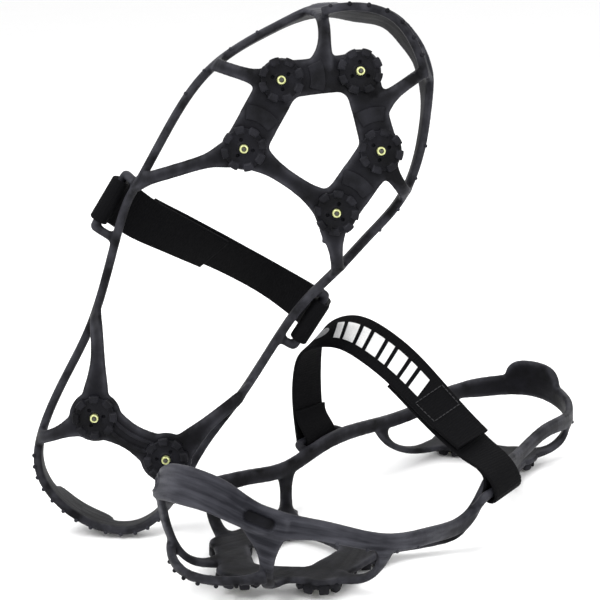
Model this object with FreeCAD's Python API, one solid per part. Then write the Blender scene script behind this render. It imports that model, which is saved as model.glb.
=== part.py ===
import FreeCAD, Part
import math
import os
from FreeCAD import Placement, Rotation, Vector

# A pair of slip-on ice cleats.  Each cleat is an elastomer harness that stretches
# round a boot: a band round the boot's sides, arms that reach under it, and two
# plates with studs under the ball and the heel.  A webbing strap closes over the
# instep.  The left cleat stands as worn.  The right one is its mirror image and
# rests behind it on its heel band, toe up, with its studs facing forward.
#
# Boot frame of one left cleat, in mm: x from the heel to the toe, y towards the
# outer side of the foot, z up from the stud tips.

# ---- boot that the harness is stretched over -------------------------------------
BOOT_LENGTH = 306.0          # heel seat to toe band
BALL_OUT = 65.5              # band's distance from the centre line, ball of the foot
BALL_IN = 56.5
HEEL_BACK = -7.0             # heel band, behind the heel seat
WAIST_OUT = 49.5             # the same at the waist, ahead of the heel
WAIST_IN = 40.0
HEEL_SIDE = 39.0
SPRING_START = 0.70          # where the sole begins to rise, as a share of the length
SPRING_RADIUS = 400.0        # the sole's curve under the toe

# ---- harness ---------------------------------------------------------------------
BAND_THICKNESS = 3.2
BAND_HEIGHT = 8.5            # narrow side band
WAIST_BAND_HEIGHT = 8.0
HEEL_BAND_HEIGHT = 14.0
RAND_HEIGHT = 16.0           # wide band over the toe cap
RAND_LEAN = 22.0             # degrees, leaning back over the toe cap
TAB_HEIGHT = 9.0             # heel pull tab above the heel band
TAB_THICKNESS = 5.0
PLATE_BOTTOM = 5.0
PLATE_THICKNESS = 3.5
PAD_RADIUS = 12.8            # round pad of a plate over each stud
RING_WIDTH = 21.0            # bars between the pads, sides of the ring
RING_FRONT_WIDTH = 18.0
RING_REAR_WIDTH = 8.0
HEEL_BAR_WIDTH = 12.0
ARM_WIDTH = 7.5
ARM_FLARE = 12.0             # arm's width where it meets a band or plate
ARM_THICKNESS = 3.2
ARM_SINK = 1.5               # how deep an arm's root is carried before it is trimmed
RIM_RAISE = 21.0             # its middle above the ground
RIM_WIDTH = 4.5              # thin rim across the toe, between the two toe arms

# ---- studs -----------------------------------------------------------------------
HUB_SPREAD = 28.5            # outer rear pad of the forefoot ring, from the centre line
HUB_SPREAD_IN = 28.5
HUB_SPREAD_FRONT = 30.5
HEEL_SPREAD = 21.5
CROWN_RADIUS = 11.5
CROWN_DISC = 1.8             # thickness of the crown's disc under the plate
LUG_COUNT = 8
LUG_LENGTH = 3.2             # radial
LUG_WIDTH = 4.6
LUG_GROUND_GAP = 1.0         # lugs stop short of the ground that the tips stand on
STUD_RADIUS = 2.3
STUD_GROUND_GAP = 0.5
TIP_RADIUS = 0.95
TIP_DEPTH = 3.0

# ---- instep strap ----------------------------------------------------------------
STRAP_PLACE = 0.485          # share of the boot's length
STRAP_WIDTH = 25.0
STRAP_THICKNESS = 2.0
INSTEP_HEIGHT = 99.0
STRAP_LEAN_BACK = 1.5
RAIL_RADIUS = 2.5
RAIL_STANDOFF = 9.0          # rail axis from the band's centre
RAIL_RAISE = 1.0
RAIL_CLEARANCE = 0.3         # webbing round the rail
SIDE_CLEARANCE = 1.5         # webbing between the rail's posts
POST_WIDTH = 4.5
POST_THICKNESS = 4.0
PATCH_THICKNESS = 0.7        # hook patch and loop patch
PATCH_GAP = 0.3
PATCH_MARGIN = 1.0
PATCH_LENGTH = 34.0
TAIL_LENGTH = 17.0
TAIL_RAISE = 33.0            # strap left below the free end, down to the outer rail
FOLD_SHARE = 0.40            # where the strap folds back, as a share of its length
TOP_LEAN = 34.0              # degrees: the strap's front edge is lower over the instep
FLAP_GAP = 0.3               # between the strap's hinged lengths

# ---- the right cleat's pose ------------------------------------------------------
RIGHT_HEEL = (290.2, -96.2, 20.1)            # its boot frame's origin
RIGHT_TURN = (138.0, -56.2, -99.0)           # yaw, pitch and roll in degrees

SECTIONS_PER_SPAN = 5


def along(share):
    return share * BOOT_LENGTH


# Stations of the side band, from the middle of the heel round the outer side:
# x, y, z of its centre, its height and how far it leans inwards in degrees.
STATIONS = {
    "heel": (HEEL_BACK, 0.0, 30.0, HEEL_BAND_HEIGHT, 0.0),
    "heel_corner_out": (along(0.01), HEEL_SIDE - 11.0, 26.0, HEEL_BAND_HEIGHT - 1.0, 0.0),
    "heel_side_out": (along(0.075), HEEL_SIDE + 1.0, 25.0, 9.5, 0.0),
    "quarter_out": (along(0.19), HEEL_SIDE + 6.0, 29.0, WAIST_BAND_HEIGHT, 0.0),
    "waist_out": (along(0.315), WAIST_OUT, 26.0, WAIST_BAND_HEIGHT, 0.0),
    "strap_out": (along(STRAP_PLACE), BALL_OUT - 1.5, 31.0, BAND_HEIGHT, 0.0),
    "rear_out": (along(0.548), BALL_OUT - 0.5, 19.5, BAND_HEIGHT, 0.0),
    "side_out": (along(0.67), BALL_OUT + 1.0, 23.5, BAND_HEIGHT, 0.0),
    "ball_out": (along(0.778), BALL_OUT - 3.0, 30.5, 9.5, 0.0),
    "rand_end_out": (along(0.88), BALL_OUT - 19.0, 43.5, 10.5, 6.0),
    "toe_out": (along(0.945), BALL_OUT - 34.5, 50.5, 13.0, 16.0),
    "toe_front_out": (along(0.98), 12.0, 60.0, RAND_HEIGHT, RAND_LEAN),
    "toe": (along(1.0), -3.0, 63.5, RAND_HEIGHT, RAND_LEAN),
    "toe_front_in": (along(0.99), -18.0, 60.0, RAND_HEIGHT, RAND_LEAN),
    "toe_in": (along(0.96), 24.0 - BALL_IN, 55.0, 14.0, 18.0),
    "rand_end_in": (along(0.88), 9.5 - BALL_IN, 43.5, 10.5, 6.0),
    "ball_in": (along(0.762), 0.5 - BALL_IN, 30.0, 9.5, 0.0),
    "side_in": (along(0.67), 4.5 - BALL_IN, 27.0, BAND_HEIGHT, 0.0),
    "rear_in": (along(0.59), 9.5 - BALL_IN, 25.0, BAND_HEIGHT, 0.0),
    "strap_in": (along(STRAP_PLACE), 15.0 - BALL_IN, 32.5, BAND_HEIGHT, 0.0),
    "waist_in": (along(0.325), -WAIST_IN, 29.0, WAIST_BAND_HEIGHT, 0.0),
    "quarter_in": (along(0.20), 2.0 - HEEL_SIDE, 28.0, WAIST_BAND_HEIGHT, 0.0),
    "heel_side_in": (along(0.09), 1.0 - HEEL_SIDE, 28.0, 9.5, 0.0),
    "heel_corner_in": (along(0.01), 10.5 - HEEL_SIDE, 27.0, HEEL_BAND_HEIGHT - 1.0, 0.0),
}
STATION_NAMES = list(STATIONS)


def centre(name, drop=0.0):
    """A station's centre, or a point lower down by the given distance."""
    x, y, z = STATIONS[name][:3]
    return Vector(x, y, z - drop)


def chord_parameters(points):
    values = [0.0]
    for a, b in zip(points[:-1], points[1:]):
        values.append(values[-1] + math.sqrt((b - a).Length))
    return values


def band_curve():
    """The band's closed centre line and the curve's parameter at each station."""
    points = [centre(name) for name in STATION_NAMES]
    values = chord_parameters(points + points[:1])
    curve = Part.BSplineCurve()
    curve.interpolate(Points=points, PeriodicFlag=True, Parameters=values)
    return curve, values


BAND, BAND_AT = band_curve()


def rectangle(middle, across, half_across, through, half_through):
    """A closed wire: a rectangle from its middle and two unit directions."""
    corners = []
    for i, j in ((-1, -1), (1, -1), (1, 1), (-1, 1)):
        corners.append(middle + across * (i * half_across) + through * (j * half_through))
    return Part.makePolygon(corners + corners[:1])


def band_section(position, thickness, z_low=None, z_high=None):
    """The band's section at a station number, which may have a fraction.

    z_low and z_high replace the band's own edges, measured from its centre.
    """
    index = int(math.floor(position))
    share = position - index
    count = len(STATION_NAMES)
    start = STATIONS[STATION_NAMES[index % count]]
    stop = STATIONS[STATION_NAMES[(index + 1) % count]]
    blend = share * share * (3.0 - 2.0 * share)
    height = start[3] + (stop[3] - start[3]) * blend
    lean = math.radians(start[4] + (stop[4] - start[4]) * blend)
    first = BAND_AT[index % count]
    last = BAND_AT[index % count + 1]
    parameter = first + (last - first) * share
    middle = BAND.value(parameter)
    forward = BAND.tangent(parameter)[0]
    inward = Vector(forward.y, -forward.x, 0).normalize()     # the band runs clockwise from above
    up = Vector(0, 0, 1) * math.cos(lean) + inward * math.sin(lean)
    outward = forward.cross(up).normalize()
    low = -height / 2 if z_low is None else z_low
    high = height / 2 if z_high is None else z_high
    return rectangle(middle + up * ((low + high) / 2), up, (high - low) / 2, outward, thickness / 2)


def loft(wires):
    return Part.makeLoft(wires, True, True)


def band_piece(first, last, thickness, z_low=None, z_high=None):
    """A length of the band between two stations, given as numbers."""
    steps = max(2, int(math.ceil(abs(last - first) * SECTIONS_PER_SPAN)))
    wires = []
    for step in range(steps + 1):
        position = first + (last - first) * step / steps
        wires.append(band_section(position, thickness, z_low, z_high))
    return loft(wires)


def strip(points, widths, thickness, normal, steps=14):
    """A flat bar along a smooth line, its flat side carried along without twisting."""
    curve = Part.BSplineCurve()
    curve.interpolate(points)
    first, last = curve.FirstParameter, curve.LastParameter
    wires = []
    for step in range(steps + 1):
        share = step / steps
        parameter = first + (last - first) * share
        forward = curve.tangent(parameter)[0]
        normal = (normal - forward * normal.dot(forward)).normalize()
        across = forward.cross(normal).normalize()
        spot = share * (len(widths) - 1)
        index = min(int(spot), len(widths) - 2)
        width = widths[index] + (widths[index + 1] - widths[index]) * (spot - index)
        wires.append(rectangle(curve.value(parameter), across, width / 2, normal, thickness / 2))
    return loft(wires)


# ---- plates ----------------------------------------------------------------------
HUBS = {
    "ring_out": (along(0.688), HUB_SPREAD),
    "ring_front_out": (along(0.815), HUB_SPREAD_FRONT),
    "ring_toe": (along(0.895), -1.0),
    "ring_front_in": (along(0.803), -HUB_SPREAD_FRONT - 0.5),
    "ring_in": (along(0.678), -HUB_SPREAD_IN),
    "heel_out": (along(0.167), HEEL_SPREAD),
    "heel_in": (along(0.167), -HEEL_SPREAD),
}
FOREFOOT_HUBS = [name for name in HUBS if name.startswith("ring")]
HEEL_HUBS = [name for name in HUBS if name.startswith("heel")]


def sole_angle(x):
    reach = x - along(SPRING_START)
    return math.asin(reach / SPRING_RADIUS) if reach > 0 else 0.0


def sole_height(x):
    """Height of the plates' underside, which follows the sole up under the toe."""
    return PLATE_BOTTOM + SPRING_RADIUS * (1.0 - math.cos(sole_angle(x)))


def hub_place(name):
    """Placement of a stud: its axis at right angles to the sole there."""
    x, y = HUBS[name]
    turn = Rotation(Vector(0, 1, 0), -math.degrees(sole_angle(x)))
    return Placement(Vector(x, y, sole_height(x)), turn)


def sole_slab():
    """A slab of the plates' thickness that follows the sole, wider than the boot."""
    start = along(SPRING_START)
    end = BOOT_LENGTH + RAND_HEIGHT
    angle = sole_angle(end)
    top_radius = SPRING_RADIUS - PLATE_THICKNESS
    pivot = Vector(start, 0, PLATE_BOTTOM + SPRING_RADIUS)

    def on_arc(radius, turn):
        return pivot + Vector(math.sin(turn), 0, -math.cos(turn)) * radius

    bottom = Part.Arc(
        on_arc(SPRING_RADIUS, 0), on_arc(SPRING_RADIUS, angle / 2), on_arc(SPRING_RADIUS, angle))
    top = Part.Arc(on_arc(top_radius, angle), on_arc(top_radius, angle / 2), on_arc(top_radius, 0))
    back_low = Vector(-PAD_RADIUS, 0, PLATE_BOTTOM)
    back_high = Vector(-PAD_RADIUS, 0, PLATE_BOTTOM + PLATE_THICKNESS)
    edges = [
        Part.LineSegment(back_low, on_arc(SPRING_RADIUS, 0)).toShape(),
        bottom.toShape(),
        Part.LineSegment(on_arc(SPRING_RADIUS, angle), on_arc(top_radius, angle)).toShape(),
        top.toShape(),
        Part.LineSegment(on_arc(top_radius, 0), back_high).toShape(),
        Part.LineSegment(back_high, back_low).toShape(),
    ]
    half = BALL_OUT + BALL_IN
    face = Part.Face(Part.Wire(edges))
    face.translate(Vector(0, -half, 0))
    return face.extrude(Vector(0, 2 * half, 0))


SLAB = sole_slab()
DEEP = 4 * PAD_RADIUS        # more than the sole's rise


def pad_prism(name):
    x, y = HUBS[name]
    return Part.makeCylinder(PAD_RADIUS, 2 * DEEP, Vector(x, y, -DEEP))


def bar_prism(first, second, width):
    """A tall bar between two hubs' centres."""
    ax, ay = HUBS[first]
    bx, by = HUBS[second]
    length = math.hypot(bx - ax, by - ay)
    box = Part.makeBox(length, width, 2 * DEEP, Vector(0, -width / 2, -DEEP))
    box.rotate(Vector(0, 0, 0), Vector(0, 0, 1), math.degrees(math.atan2(by - ay, bx - ax)))
    box.translate(Vector(ax, ay, 0))
    return box


def plate(prisms):
    solid = prisms[0].multiFuse(prisms[1:]).removeSplitter()
    return solid.common(SLAB)


def forefoot_plate():
    prisms = [pad_prism(name) for name in FOREFOOT_HUBS]
    prisms.append(bar_prism("ring_out", "ring_front_out", RING_WIDTH))
    prisms.append(bar_prism("ring_in", "ring_front_in", RING_WIDTH))
    prisms.append(bar_prism("ring_front_out", "ring_toe", RING_FRONT_WIDTH))
    prisms.append(bar_prism("ring_front_in", "ring_toe", RING_FRONT_WIDTH))
    prisms.append(bar_prism("ring_in", "ring_out", RING_REAR_WIDTH))
    return plate(prisms)


def heel_plate():
    prisms = [pad_prism(name) for name in HEEL_HUBS]
    prisms.append(bar_prism("heel_in", "heel_out", HEEL_BAR_WIDTH))
    return plate(prisms)


# ---- studs -----------------------------------------------------------------------
def crown():
    """A crown of lugs under a disc, modelled with the plate's underside at z = 0."""
    body = Part.makeCylinder(CROWN_RADIUS, CROWN_DISC + ARM_SINK, Vector(0, 0, -CROWN_DISC))
    lug_height = PLATE_BOTTOM - LUG_GROUND_GAP
    solids = []
    for number in range(LUG_COUNT):
        lug = Part.makeBox(LUG_LENGTH, LUG_WIDTH, lug_height,
                           Vector(CROWN_RADIUS - LUG_LENGTH, -LUG_WIDTH / 2, -lug_height))
        lug.rotate(Vector(0, 0, 0), Vector(0, 0, 1), 360.0 * number / LUG_COUNT)
        solids.append(lug)
    bore = Part.makeCylinder(STUD_RADIUS, 2 * PLATE_BOTTOM, Vector(0, 0, -PLATE_BOTTOM))
    return body.multiFuse(solids).removeSplitter().cut(bore)


def stud():
    """The metal ring round the tip, from the plate down."""
    height = PLATE_BOTTOM - STUD_GROUND_GAP
    ring = Part.makeCylinder(STUD_RADIUS, height, Vector(0, 0, -height))
    seat = Part.makeCylinder(TIP_RADIUS, TIP_DEPTH, Vector(0, 0, -PLATE_BOTTOM))
    return ring.cut(seat)


def tip():
    return Part.makeCylinder(TIP_RADIUS, TIP_DEPTH, Vector(0, 0, -PLATE_BOTTOM))


def at_hubs(shape, names):
    copies = []
    for name in names:
        copy = shape.copy()
        copy.Placement = hub_place(name).multiply(copy.Placement)
        copies.append(copy)
    return copies


# ---- arms ------------------------------------------------------------------------
DOWN = Vector(0, 0, -1)
ARM_WIDTHS = [ARM_FLARE, ARM_WIDTH, ARM_WIDTH, ARM_WIDTH, ARM_FLARE]


def plate_middle(x):
    return sole_height(x) + PLATE_THICKNESS / 2


def arm(root_x, root_y, station, bow=0.0):
    """An arm from a plate's edge, out under the sole, round its edge and up to the band.

    bow moves the middle of the arm sideways, in mm.
    """
    end = centre(station)
    root = Vector(root_x, root_y, plate_middle(root_x))
    run = end - root
    side = Vector(-run.y, run.x, 0).normalize() * bow
    points = [root]
    for share, rise in ((0.30, 0.01), (0.62, 0.10), (0.90, 0.42)):
        climbed = Vector(run.x * share, run.y * share, run.z * rise)
        points.append(root + climbed + side * math.sin(math.pi * share))
    points.append(end)
    return strip(points, ARM_WIDTHS, ARM_THICKNESS, DOWN, 18)


def beside(hub, along_x, along_y):
    """A point on the edge of a stud's pad, in a direction from its centre."""
    x, y = HUBS[hub]
    reach = (PAD_RADIUS - ARM_SINK) / math.hypot(along_x, along_y)
    return x + along_x * reach, y + along_y * reach


def between(first, second):
    """The middle of the outer edge of a bar between two pads of the ring."""
    ax, ay = HUBS[first]
    bx, by = HUBS[second]
    length = math.hypot(bx - ax, by - ay)
    out = (RING_FRONT_WIDTH / 2 - ARM_SINK) / length
    side = 1.0 if ay > 0 else -1.0
    return (ax + bx) / 2 + (ay - by) * side * out, (ay + by) / 2 + (bx - ax) * side * out


def arms():
    return {
        "toe_arm_outer": arm(*between("ring_front_out", "ring_toe"), "toe_out", -2.0),
        "toe_arm_inner": arm(*between("ring_front_in", "ring_toe"), "toe_in", 2.0),
        "mid_arm_outer": arm(*beside("ring_front_out", -9, 13), "ball_out"),
        "mid_arm_inner": arm(*beside("ring_front_in", -8, -10), "ball_in"),
        "rear_arm_outer": arm(*beside("ring_out", -12, 9), "rear_out"),
        "rear_arm_inner": arm(*beside("ring_in", -13, -4), "rear_in"),
        "heel_front_arm_outer": arm(*beside("heel_out", 10, 7), "waist_out", -2.0),
        "heel_front_arm_inner": arm(*beside("heel_in", 10, -7), "waist_in", 2.0),
        "heel_rear_arm_outer": arm(*beside("heel_out", -10, 6), "heel_side_out"),
        "heel_rear_arm_inner": arm(*beside("heel_in", -10, -6), "heel_side_in"),
    }


def toe_rim():
    """The thin rim that joins the two toe arms across the front of the toe."""
    outer = centre("toe_out")
    inner = centre("toe_in")
    points = [
        Vector(outer.x + 1.0, outer.y - 1.0, RIM_RAISE + 2.0),
        Vector(along(0.985), outer.y / 2, RIM_RAISE + 0.5),
        Vector(along(1.0), -1.0, RIM_RAISE),
        Vector(along(0.985), inner.y / 2, RIM_RAISE),
        Vector(inner.x - 4.0, inner.y + 1.0, RIM_RAISE + 1.0),
    ]
    return strip(points, [RIM_WIDTH, RIM_WIDTH], BAND_THICKNESS, Vector(1, 0, 0), 16)


# ---- strap -----------------------------------------------------------------------
SLEEVE_RADIUS = RAIL_RADIUS + RAIL_CLEARANCE + STRAP_THICKNESS / 2
STACK = STRAP_THICKNESS + 2 * PATCH_THICKNESS + PATCH_GAP     # top strap over under strap
RAIL_LENGTH = STRAP_WIDTH + 2 * (SIDE_CLEARANCE + POST_WIDTH)


def band_beside(side, x):
    """The band's centre next to the strap, at a place along the boot."""
    names = ("waist_out", "rear_out") if side > 0 else ("waist_in", "rear_in")
    low, high = (BAND_AT[STATION_NAMES.index(name)] for name in names)
    for _ in range(40):
        middle = (low + high) / 2
        if BAND.value(middle).x < x:
            low = middle
        else:
            high = middle
    return BAND.value(middle)


def rail_centre(side):
    base = centre("strap_out" if side > 0 else "strap_in")
    return base + Vector(0, side * RAIL_STANDOFF, RAIL_RAISE)


def strap_loop(side):
    """A rail held off the band by two posts, which run in and down to the band's centre."""
    middle = rail_centre(side)
    start = middle - Vector(RAIL_LENGTH / 2, 0, 0)
    solid = Part.makeCylinder(RAIL_RADIUS, RAIL_LENGTH, start, Vector(1, 0, 0))
    for end in (-1, 1):
        top = middle + Vector(end * (RAIL_LENGTH - POST_WIDTH) / 2, 0, 0)
        foot = band_beside(side, top.x)
        wires = []
        run = (foot - top).normalize()
        across = (Vector(1, 0, 0) - run * run.x).normalize()
        through = run.cross(across).normalize()
        for spot in (top, foot):
            wires.append(rectangle(spot, across, POST_WIDTH / 2, through, POST_THICKNESS / 2))
        solid = solid.fuse(Part.makeLoft(wires, True, True))
    return solid.removeSplitter()


def strap_line():
    """The strap's centre line from the inner rail over the instep to the outer rail."""
    inner = rail_centre(-1)
    outer = rail_centre(1)
    low_in = inner.y - SLEEVE_RADIUS
    low_out = outer.y + SLEEVE_RADIUS
    rise = INSTEP_HEIGHT - inner.z
    fall = INSTEP_HEIGHT - outer.z
    x = inner.x - STRAP_LEAN_BACK
    return [
        Vector(inner.x, low_in, inner.z),
        Vector(inner.x, low_in - 2.0, inner.z + 0.30 * rise),
        Vector(x, low_in - 2.5, inner.z + 0.60 * rise),
        Vector(x, low_in + 3.0, inner.z + 0.85 * rise),
        Vector(x, low_in + 14.0, INSTEP_HEIGHT - 2.5),
        Vector(x, low_in + 27.0, INSTEP_HEIGHT),
        Vector(x, -9.0, INSTEP_HEIGHT - 0.07 * fall),
        Vector(x, 8.0, INSTEP_HEIGHT - 0.20 * fall),
        Vector(x, 25.0, INSTEP_HEIGHT - 0.38 * fall),
        Vector(x, low_out - 37.0, INSTEP_HEIGHT - 0.54 * fall),
        Vector(x, low_out - 20.0, INSTEP_HEIGHT - 0.70 * fall),
        Vector(outer.x, low_out - 5.0, outer.z + 0.16 * fall),
        Vector(outer.x, low_out, outer.z),
    ]


STRAP_CURVE = Part.BSplineCurve()
STRAP_CURVE.interpolate(strap_line())
STRAP_LENGTH = STRAP_CURVE.length()


def strap_frame(distance, drop):
    """Point, width direction and outward normal at a distance along the strap.

    drop moves the point inwards, for the under strap and the patches.
    """
    parameter = STRAP_CURVE.parameterAtDistance(distance, STRAP_CURVE.FirstParameter)
    forward = STRAP_CURVE.tangent(parameter)[0]
    share = distance / STRAP_LENGTH
    lean = math.radians(TOP_LEAN) * math.sin(math.pi * share) ** 1.5
    across = Vector(math.cos(lean), 0, -math.sin(lean))
    across = (across - forward * across.dot(forward)).normalize()
    outward = across.cross(forward).normalize()
    return STRAP_CURVE.value(parameter) - outward * drop, across, outward


def webbing(first, last, width, thickness, drop, step=4.0):
    steps = max(2, int(math.ceil((last - first) / step)))
    wires = []
    for number in range(steps + 1):
        distance = first + (last - first) * number / steps
        middle, across, outward = strap_frame(distance, drop)
        wires.append(rectangle(middle, across, width / 2, outward, thickness / 2))
    return loft(wires)


def sleeve(side):
    """Webbing wrapped once round a rail."""
    middle = rail_centre(side) - Vector(STRAP_WIDTH / 2, 0, 0)
    outer = Part.makeCylinder(SLEEVE_RADIUS + STRAP_THICKNESS / 2, STRAP_WIDTH, middle, Vector(1, 0, 0))
    inner = Part.makeCylinder(SLEEVE_RADIUS - STRAP_THICKNESS / 2, STRAP_WIDTH, middle, Vector(1, 0, 0))
    return outer.cut(inner)


FLAP_START = STRAP_LENGTH * FOLD_SHARE
TAIL_END = STRAP_LENGTH - TAIL_RAISE             # square-cut free end
TAIL_START = TAIL_END - TAIL_LENGTH
PATCH_END = TAIL_START - PATCH_MARGIN
PATCH_START = PATCH_END - PATCH_LENGTH
UNDER_START = PATCH_START - PATCH_MARGIN


def under_strap():
    """From the outer rail up beneath the top strap.

    It starts outside, on the rail's sleeve, and slips under the free end.
    """
    wires = []
    reach = STRAP_LENGTH - UNDER_START
    steps = int(math.ceil(reach / 3.0))
    for number in range(steps + 1):
        distance = UNDER_START + reach * number / steps
        beyond = max(0.0, distance - TAIL_END)
        ease = min(1.0, beyond / (STRAP_LENGTH - TAIL_END))
        drop = STACK * (1.0 - ease * ease * (3.0 - 2.0 * ease))
        middle, across, outward = strap_frame(distance, drop)
        wires.append(rectangle(middle, across, STRAP_WIDTH / 2, outward, STRAP_THICKNESS / 2))
    return loft(wires).fuse(sleeve(1))


def strap_pieces():
    patch_drop = (STRAP_THICKNESS + PATCH_THICKNESS) / 2
    patch_width = STRAP_WIDTH - 2 * PATCH_MARGIN
    anchor = webbing(0.0, FLAP_START - FLAP_GAP / 2, STRAP_WIDTH, STRAP_THICKNESS, 0.0)
    flap = webbing(FLAP_START + FLAP_GAP / 2, TAIL_START - FLAP_GAP / 2, STRAP_WIDTH, STRAP_THICKNESS, 0.0)
    under = under_strap()
    hooks = webbing(PATCH_START, PATCH_END, patch_width, PATCH_THICKNESS, patch_drop)
    loops = webbing(PATCH_START, PATCH_END, patch_width, PATCH_THICKNESS, STACK - patch_drop)
    return {
        "strap_anchor": anchor.fuse(sleeve(-1)),
        "strap_flap": flap,
        "strap_tail": webbing(TAIL_START + FLAP_GAP / 2, TAIL_END, STRAP_WIDTH, STRAP_THICKNESS, 0.0),
        "strap_under": under,
        "hook_patch": trimmed(hooks, flap),
        "loop_patch": trimmed(loops, under),
    }


# ---- one cleat -------------------------------------------------------------------
def station_number(name):
    return STATION_NAMES.index(name)


def cleat():
    """Every piece of the left cleat in the boot frame, by name."""
    count = len(STATION_NAMES)
    made = {
        "lateral_band": band_piece(
            station_number("heel_side_out"), station_number("rand_end_out"), BAND_THICKNESS),
        "toe_rand": band_piece(
            station_number("rand_end_out"), station_number("rand_end_in"), BAND_THICKNESS),
        "medial_band": band_piece(
            station_number("rand_end_in"), station_number("heel_side_in"), BAND_THICKNESS),
        "heel_band": band_piece(station_number("heel_side_in"), count + station_number("heel_side_out"),
                                BAND_THICKNESS),
        "heel_pull_tab": band_piece(count - 0.6, count + 0.6, TAB_THICKNESS, HEEL_BAND_HEIGHT / 2,
                                    HEEL_BAND_HEIGHT / 2 + TAB_HEIGHT),
        "forefoot_plate": forefoot_plate(),
        "heel_plate": heel_plate(),
    }
    bands = ["lateral_band", "toe_rand", "medial_band", "heel_band"]
    made["heel_pull_tab"] = trimmed(made["heel_pull_tab"], made["heel_band"])
    for name, names, owner in (("forefoot_crowns", FOREFOOT_HUBS, "forefoot_plate"),
                               ("heel_crowns", HEEL_HUBS, "heel_plate")):
        made[name] = Part.makeCompound([trimmed(item, made[owner]) for item in at_hubs(crown(), names)])
    for name, solid in arms().items():
        for other in bands + ["forefoot_plate", "heel_plate", "forefoot_crowns", "heel_crowns"]:
            solid = trimmed(solid, made[other])
        made[name] = solid
    made["toe_rim"] = trimmed(trimmed(toe_rim(), made["toe_arm_outer"]), made["toe_arm_inner"])
    made["strap_loop_outer"] = trimmed(trimmed(strap_loop(1), made["lateral_band"]), made["rear_arm_outer"])
    made["strap_loop_inner"] = trimmed(strap_loop(-1), made["medial_band"])
    made["studs"] = Part.makeCompound(at_hubs(stud(), list(HUBS)))
    made["stud_tips"] = Part.makeCompound(at_hubs(tip(), list(HUBS)))
    made.update(strap_pieces())
    return made


def trimmed(solid, other):
    """The solid without what it shares with another, as its largest piece."""
    if not solid.BoundBox.intersect(other.BoundBox):
        return solid
    rest = solid.cut(other)
    return max(rest.Solids, key=lambda piece: piece.Volume) if rest.Solids else rest


def right_place():
    yaw, pitch, roll = RIGHT_TURN
    return Placement(Vector(*RIGHT_HEEL), Rotation(yaw, pitch, roll))


def right_point(point):
    return right_place().multVec(Vector(point.x, -point.y, point.z))


def right_direction(direction):
    """An axis of the mirrored cleat, turned so that the same angles open it."""
    return right_place().Rotation.multVec(Vector(-direction.x, direction.y, -direction.z))


def main():
    left = cleat()
    pieces = {}
    for name, shape in left.items():
        pieces["left_" + name] = shape
        mirrored = shape.mirror(Vector(0, 0, 0), Vector(0, 1, 0))
        mirrored.Placement = right_place().multiply(mirrored.Placement)
        pieces["right_" + name] = mirrored
    box = FreeCAD.BoundBox()
    for shape in pieces.values():
        box.add(shape.optimalBoundingBox(True, False))
    origin = Vector(-(box.XMin + box.XMax) / 2, -(box.YMin + box.YMax) / 2, -box.ZMin)
    os.makedirs("parts", exist_ok=True)
    for name, shape in pieces.items():
        shape.translate(origin)
        shape.exportStep("parts/" + name + ".step")
        print("piece", name, len(shape.Solids), shape.isValid(), round(shape.Volume, 1))
    report_axes(origin)
    print("size", round(box.XLength, 1), round(box.YLength, 1), round(box.ZLength, 1))


def report_axes(origin):
    """Print where the joints' axes and the seats lie, in the finished frame."""
    tops = {
        "strap_flap": strap_hinge(FLAP_START),
        "strap_tail": strap_hinge(TAIL_START),
        "strap_under": (rail_centre(1), Vector(1, 0, 0)),
        "heel_seat": (Vector(along(0.17), 0, PLATE_BOTTOM + PLATE_THICKNESS), Vector(0, 0, 1)),
    }
    print("origin", tuple(round(value, 3) for value in origin))
    for name, (point, axis) in tops.items():
        left = point + origin
        print("axis left_" + name, *["%.4f" % v for v in (*left, *axis)])
        right = right_point(point) + origin
        turned = right_direction(axis)
        if name == "heel_seat":
            turned = -turned
        print("axis right_" + name, *["%.4f" % v for v in (*right, *turned)])


def strap_hinge(distance):
    """The line that the strap folds about: across it, on its outer face."""
    middle, across, outward = strap_frame(distance, -STRAP_THICKNESS / 2)
    return middle, across


main()
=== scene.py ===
import bmesh
import bpy
import numpy as np
from mathutils import Matrix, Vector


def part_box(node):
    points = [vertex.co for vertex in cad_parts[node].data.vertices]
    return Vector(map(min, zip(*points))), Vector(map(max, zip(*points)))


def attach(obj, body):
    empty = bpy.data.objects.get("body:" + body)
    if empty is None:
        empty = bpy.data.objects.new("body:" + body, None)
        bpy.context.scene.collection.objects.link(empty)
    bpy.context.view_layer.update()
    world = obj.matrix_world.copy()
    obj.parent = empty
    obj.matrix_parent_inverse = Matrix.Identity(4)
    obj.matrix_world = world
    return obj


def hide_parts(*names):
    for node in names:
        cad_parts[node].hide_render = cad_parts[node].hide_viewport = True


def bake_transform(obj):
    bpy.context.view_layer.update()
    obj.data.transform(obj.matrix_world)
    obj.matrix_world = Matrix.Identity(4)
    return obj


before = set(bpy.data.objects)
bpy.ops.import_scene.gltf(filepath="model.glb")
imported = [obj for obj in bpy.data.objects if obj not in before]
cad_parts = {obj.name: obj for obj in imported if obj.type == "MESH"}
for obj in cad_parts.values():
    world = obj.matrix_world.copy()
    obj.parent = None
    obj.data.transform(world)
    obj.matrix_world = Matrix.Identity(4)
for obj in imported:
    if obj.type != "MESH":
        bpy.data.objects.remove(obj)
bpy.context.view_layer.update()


# ==== How a pair of cleats stands =====================================================
# The left cleat stands on its studs as it does on a boot.  The right one is its mirror
# image, set down behind it on its heel with the toe up.  Every shape below is worked out
# once for the left foot, in mm: x from heel to toe, y outwards, z up from the stud tips.
BOOT_LENGTH = 306.0
HEEL_HUB_X = 0.167 * BOOT_LENGTH
PAD_RADIUS = 12.8
RIGHT_HEEL = np.array([290.2, -96.2, 20.1])
RIGHT_YAW, RIGHT_PITCH, RIGHT_ROLL = np.radians([138.0, -56.2, -99.0])
SIDES = ("left", "right")

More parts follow.
